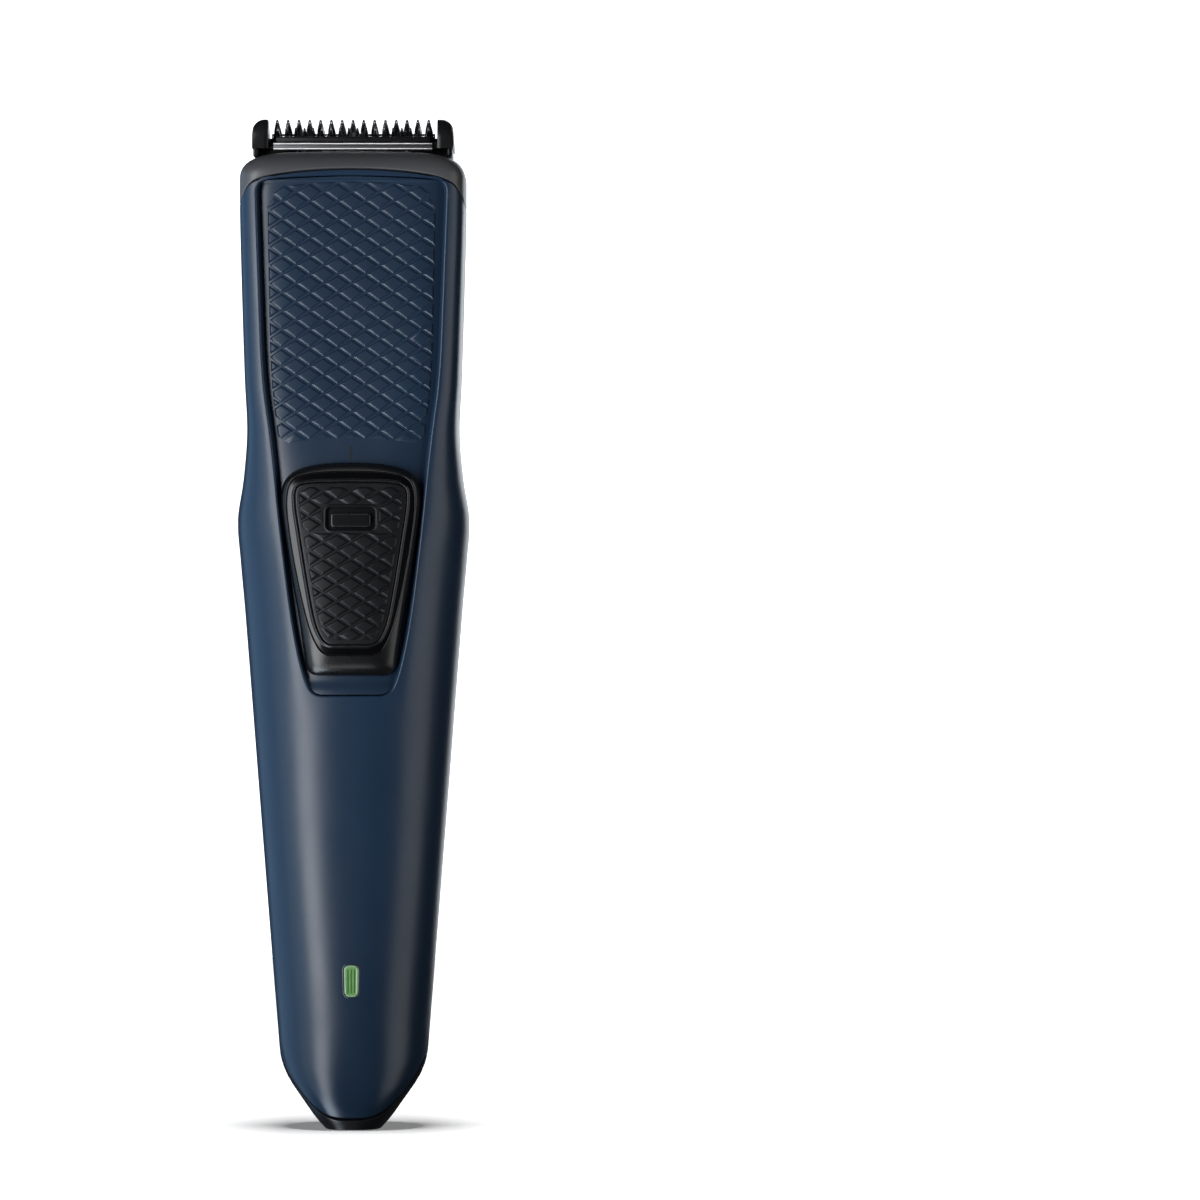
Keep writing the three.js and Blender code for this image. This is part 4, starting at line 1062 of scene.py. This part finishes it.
# An ear's side-view (y, z) outline.
EAR = [
    (-6.3, 155.4), (8, 155.4), (8, 156.9), (4, 157.5), (1.4, 157.7), (-1, 159.1), (-2.9, 160),
    (-4.2, 160.08), (-5.2, 159.9), (-6, 158.9), (-6.35, 157.2),
]
# The front-view (x, z) outline of the right-hand skirt, which follows the collar's top.
SKIRT = [
    (9, 154.95), (11, 154.78), (13.1, 154.5), (14, 154.3), (14.7, 154.1), (15.4, 153.85), (15.6, 155.6),
    (9, 155.6),
]


def ear(bm, side):
    """A cheek of the head, its top falling away in a round shoulder towards the outside."""
    inner, outer, base = 13.4, 15.95, 155.4
    loops = []
    for share in (0, 0.06, 0.3, 0.5, 0.66, 0.8, 0.9, 0.96, 1):
        x = inner + (outer - inner) * share
        over = max(share - 0.25, 0) / 0.75
        keep = 1 - 0.4 * (1 - math.sqrt(1 - min(over, 0.995) ** 2))
        draw = 0.12 if share in (0, 1) else 0
        loops.append([
            np.array([side * x, y * (1 - draw * 0.15) - 0.1 * draw, base + (z - base) * (keep - draw * 0.3)])
            for y, z in EAR
        ])
    capped(bm, loops)


def head_frame():
    """The head's moulding: ears, side walls, bosses and skirts, with bars and a knuckle between them."""
    boss = [(-1.9, 155.4), (2.6, 155.4), (2.6, 156.4), (1.4, 156.4), (-0.7, 156.2)]
    rear_bar = [(2.2, 155.4), (8, 155.4), (8, 156.9), (4, 157.5), (2.2, 157.5)]
    bridge = [(7.6, 155.4), (9.4, 154.6), (9.4, 157.2), (7.6, 156.9)]
    knuckle_half = 6
    bm = bmesh.new()
    for side in (-1, 1):
        ear(bm, side)
        block(bm, side * 15, side * 15.8, -5.6, 5, 154.1, 156, 0.2)
        slab(bm, boss, side * 10.6, side * 13.9, 0.1)
        front_slab(bm, [(side * x, z) for x, z in SKIRT], -2.4, 2.4, 0.06)
    slab(bm, rear_bar, -14.4, 14.4, 0.2)
    block(bm, -13.9, 13.9, -4.85, -4.25, 155.4, 156.35, 0.12)
    slab(bm, bridge, -knuckle_half, knuckle_half, 0.1)
    round_bar(bm, KNUCKLE_RADIUS, -knuckle_half, knuckle_half, *hinge_axis())
    finishes = ["black_head_plastic"]
    return made("head_frame_moulding", bm, "head", ["head_frame"], finishes, sharp=35)


def cutter_carrier():
    """The bar behind the cutter, with the two arms that the drive bridge's finger works between."""
    bm = bmesh.new()
    beam = [
        (-4.75, 156.5), (-2.95, 156.5), (-2.95, 156.9), (-3.55, 157.35), (-4.45, 157.35), (-4.75, 157.15),
    ]
    slab(bm, beam, -12.2, 12.2, 0.08)
    for side in (-1, 1):
        block(bm, side * 1.5, side * 4, -4, -1.2, 155.4, 156.6, 0.12)
    finishes = ["black_head_plastic"]
    return made("cutter_carrier_moulding", bm, "cutter", ["cutter_carrier"], finishes)


# -------- inner pieces and small metalwork


def finish_cad_nodes():
    """Gives each CAD node that stays in sight its own material."""
    finishes = {
        "bare_steel": [
            "chassis_screw", "motor_screw_left", "motor_screw_right", "retainer_screw_left",
            "retainer_screw_right", "motor_shaft", "guard_screw_left", "guard_screw_right", "cutter_spring",
            "head_hinge_pin",
        ],
        "zinc_plated_steel": ["motor_can", "battery_tab_lower", "battery_tab_upper", "contact_switch"],
        "moulded_nylon": [
            "chassis", "motor_end_cap", "drive_eccentric", "drive_bridge", "bridge_retainer",
            "switch_carriage", "charge_lamp",
        ],
        "ferrite_magnet": ["motor_magnet_left", "motor_magnet_right"],
        "enamelled_copper": ["motor_armature"],
        "brass_contact": ["socket_pin_front", "socket_pin_rear"],
        "solder_mask": ["circuit_board"],
        "cell_sleeve": ["battery_cell"],
        "seal_rubber": ["drive_seal"],
        "black_satin_plastic": ["charging_socket"],
    }
    for finish, names in finishes.items():
        material = finished(finish)
        for name in names:
            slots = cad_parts[name].material_slots
            if not slots:
                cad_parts[name].data.materials.append(material)
            for one in slots:
                one.material = material


# -------- stage, light and camera


def plane(name, corners, material):
    mesh = bpy.data.meshes.new(name)
    mesh.from_pydata(corners, [], [(0, 1, 2, 3)])
    mesh.materials.append(material)
    thing = bpy.data.objects.new(name, mesh)
    bpy.context.collection.objects.link(thing)
    return thing


def stage_material(name, glow):
    sockets = {"Specular IOR Level": 0.0, "Emission Color": WHITE, "Emission Strength": glow}
    return Finish(name, (0.9, 0.9, 0.9), 0.9, sockets).material


def stage():
    """A white floor and backdrop, which show to the camera and throw no light back."""
    floor = [(-1.2, -0.06, 0), (1.2, -0.06, 0), (1.2, 0.5, 0), (-1.2, 0.5, 0)]
    ground = plane("studio_floor", floor, stage_material("white_floor", 0.2))
    wall = [(-1.5, 1.5, -0.5), (1.5, 1.5, -0.5), (1.5, 1.5, 1.5), (-1.5, 1.5, 1.5)]
    backdrop = plane("studio_backdrop", wall, stage_material("white_backdrop", 1.5))
    for thing in (ground, backdrop):
        thing.visible_diffuse = False
        thing.visible_glossy = False
    softbox("floor_light", 0, 1.1, 0.02, (0.2, 0.34), 17.0, (1, 1, 1), only=[ground])
    return ground


AIM = Vector((0, 0, 0.08))


def softbox(name, azimuth, height, distance, size, power, colour, only=(), never=()):
    """A rectangular light that faces the trimmer. Azimuth 0 is in front and 90 on the right."""
    light = bpy.data.lights.new(name, "AREA")
    light.shape = "RECTANGLE"
    light.size, light.size_y = size
    light.energy = power
    light.color = colour
    lamp = bpy.data.objects.new(name, light)
    turn = math.radians(azimuth)
    lamp.location = (distance * math.sin(turn), -distance * math.cos(turn), height)
    lamp.rotation_euler = (AIM - lamp.location).to_track_quat("-Z", "Y").to_euler()
    bpy.context.collection.objects.link(lamp)
    linked = bpy.data.collections.new(name + "_receivers")
    for thing in [*only, *never]:
        linked.objects.link(thing)
    for member in linked.collection_objects:
        member.light_linking.link_state = "INCLUDE" if only else "EXCLUDE"
    lamp.light_linking.receiver_collection = linked
    return lamp


def lights(ground):
    """The lights on the trimmer, none of which reaches the floor."""
    dark = [ground]
    softbox("key_strip", -38.5, 0.04, 0.8, (0.3, 1.0), 6.8, (0.96, 0.98, 1.0), never=dark)
    softbox("left_fill", -68, 0.04, 0.8, (0.45, 0.9), 1.5, (0.6, 0.8, 1.0), never=dark)
    softbox("left_rim", -115, 0.02, 0.8, (0.8, 0.9), 1.8, (0.42, 0.68, 1.0), never=dark)
    softbox("right_strip", 63, 0.06, 0.8, (0.56, 1.0), 2.3, (1.0, 0.98, 0.96), never=dark)
    softbox("back_fill", 165, 0.25, 0.8, (0.5, 0.6), 1.6, (0.9, 0.95, 1.0), never=dark)
    softbox("low_left", -50, -0.42, 0.42, (0.3, 0.3), 2.2, (0.8, 0.9, 1.0), never=dark)


def sheen(switch, blades):
    """Lights in front that only the dark switch or the steel sees."""
    softbox("switch_high", -6, 0.56, 0.5, (0.5, 0.12), 0.45, WHITE[:3], only=switch)
    softbox("switch_low", -10, -0.3, 0.42, (0.3, 0.12), 0.2, WHITE[:3], only=switch)
    softbox("blade_high", -6, 0.56, 0.5, (0.5, 0.12), 2.2, WHITE[:3], only=blades)


def surroundings():
    world = bpy.data.worlds.new("studio_air")
    world.use_nodes = True
    air = world.node_tree.nodes["Background"]
    air.inputs["Color"].default_value = (0.75, 0.85, 1.0, 1)
    air.inputs["Strength"].default_value = 0.03
    bpy.context.scene.world = world
    bpy.context.scene.view_settings.view_transform = "Standard"


def camera():
    lens, sensor, seen_width, nearer = 200.0, 36.0, 0.1905, 0.004
    data = bpy.data.cameras.new("camera")
    data.lens, data.sensor_width = lens, sensor
    data.clip_start, data.clip_end = 0.05, 10
    eye = bpy.data.objects.new("camera", data)
    eye.location = (0.0392, -seen_width * lens / sensor - nearer, 0.0838)
    eye.rotation_euler = (math.pi / 2, 0, 0)
    bpy.context.collection.objects.link(eye)
    bpy.context.scene.camera = eye


camera()
lights(stage())
surroundings()

front_shell()
rear_shell()
neck_collar()
front_panel()
charge_window()
slide = switch_slide()
switch_pad()
head_frame()
guard = guard_blade()
cutter = cutter_blade()
cutter_carrier()
strip = blade_strip()
sheen([slide], [guard, cutter, strip])
finish_cad_nodes()
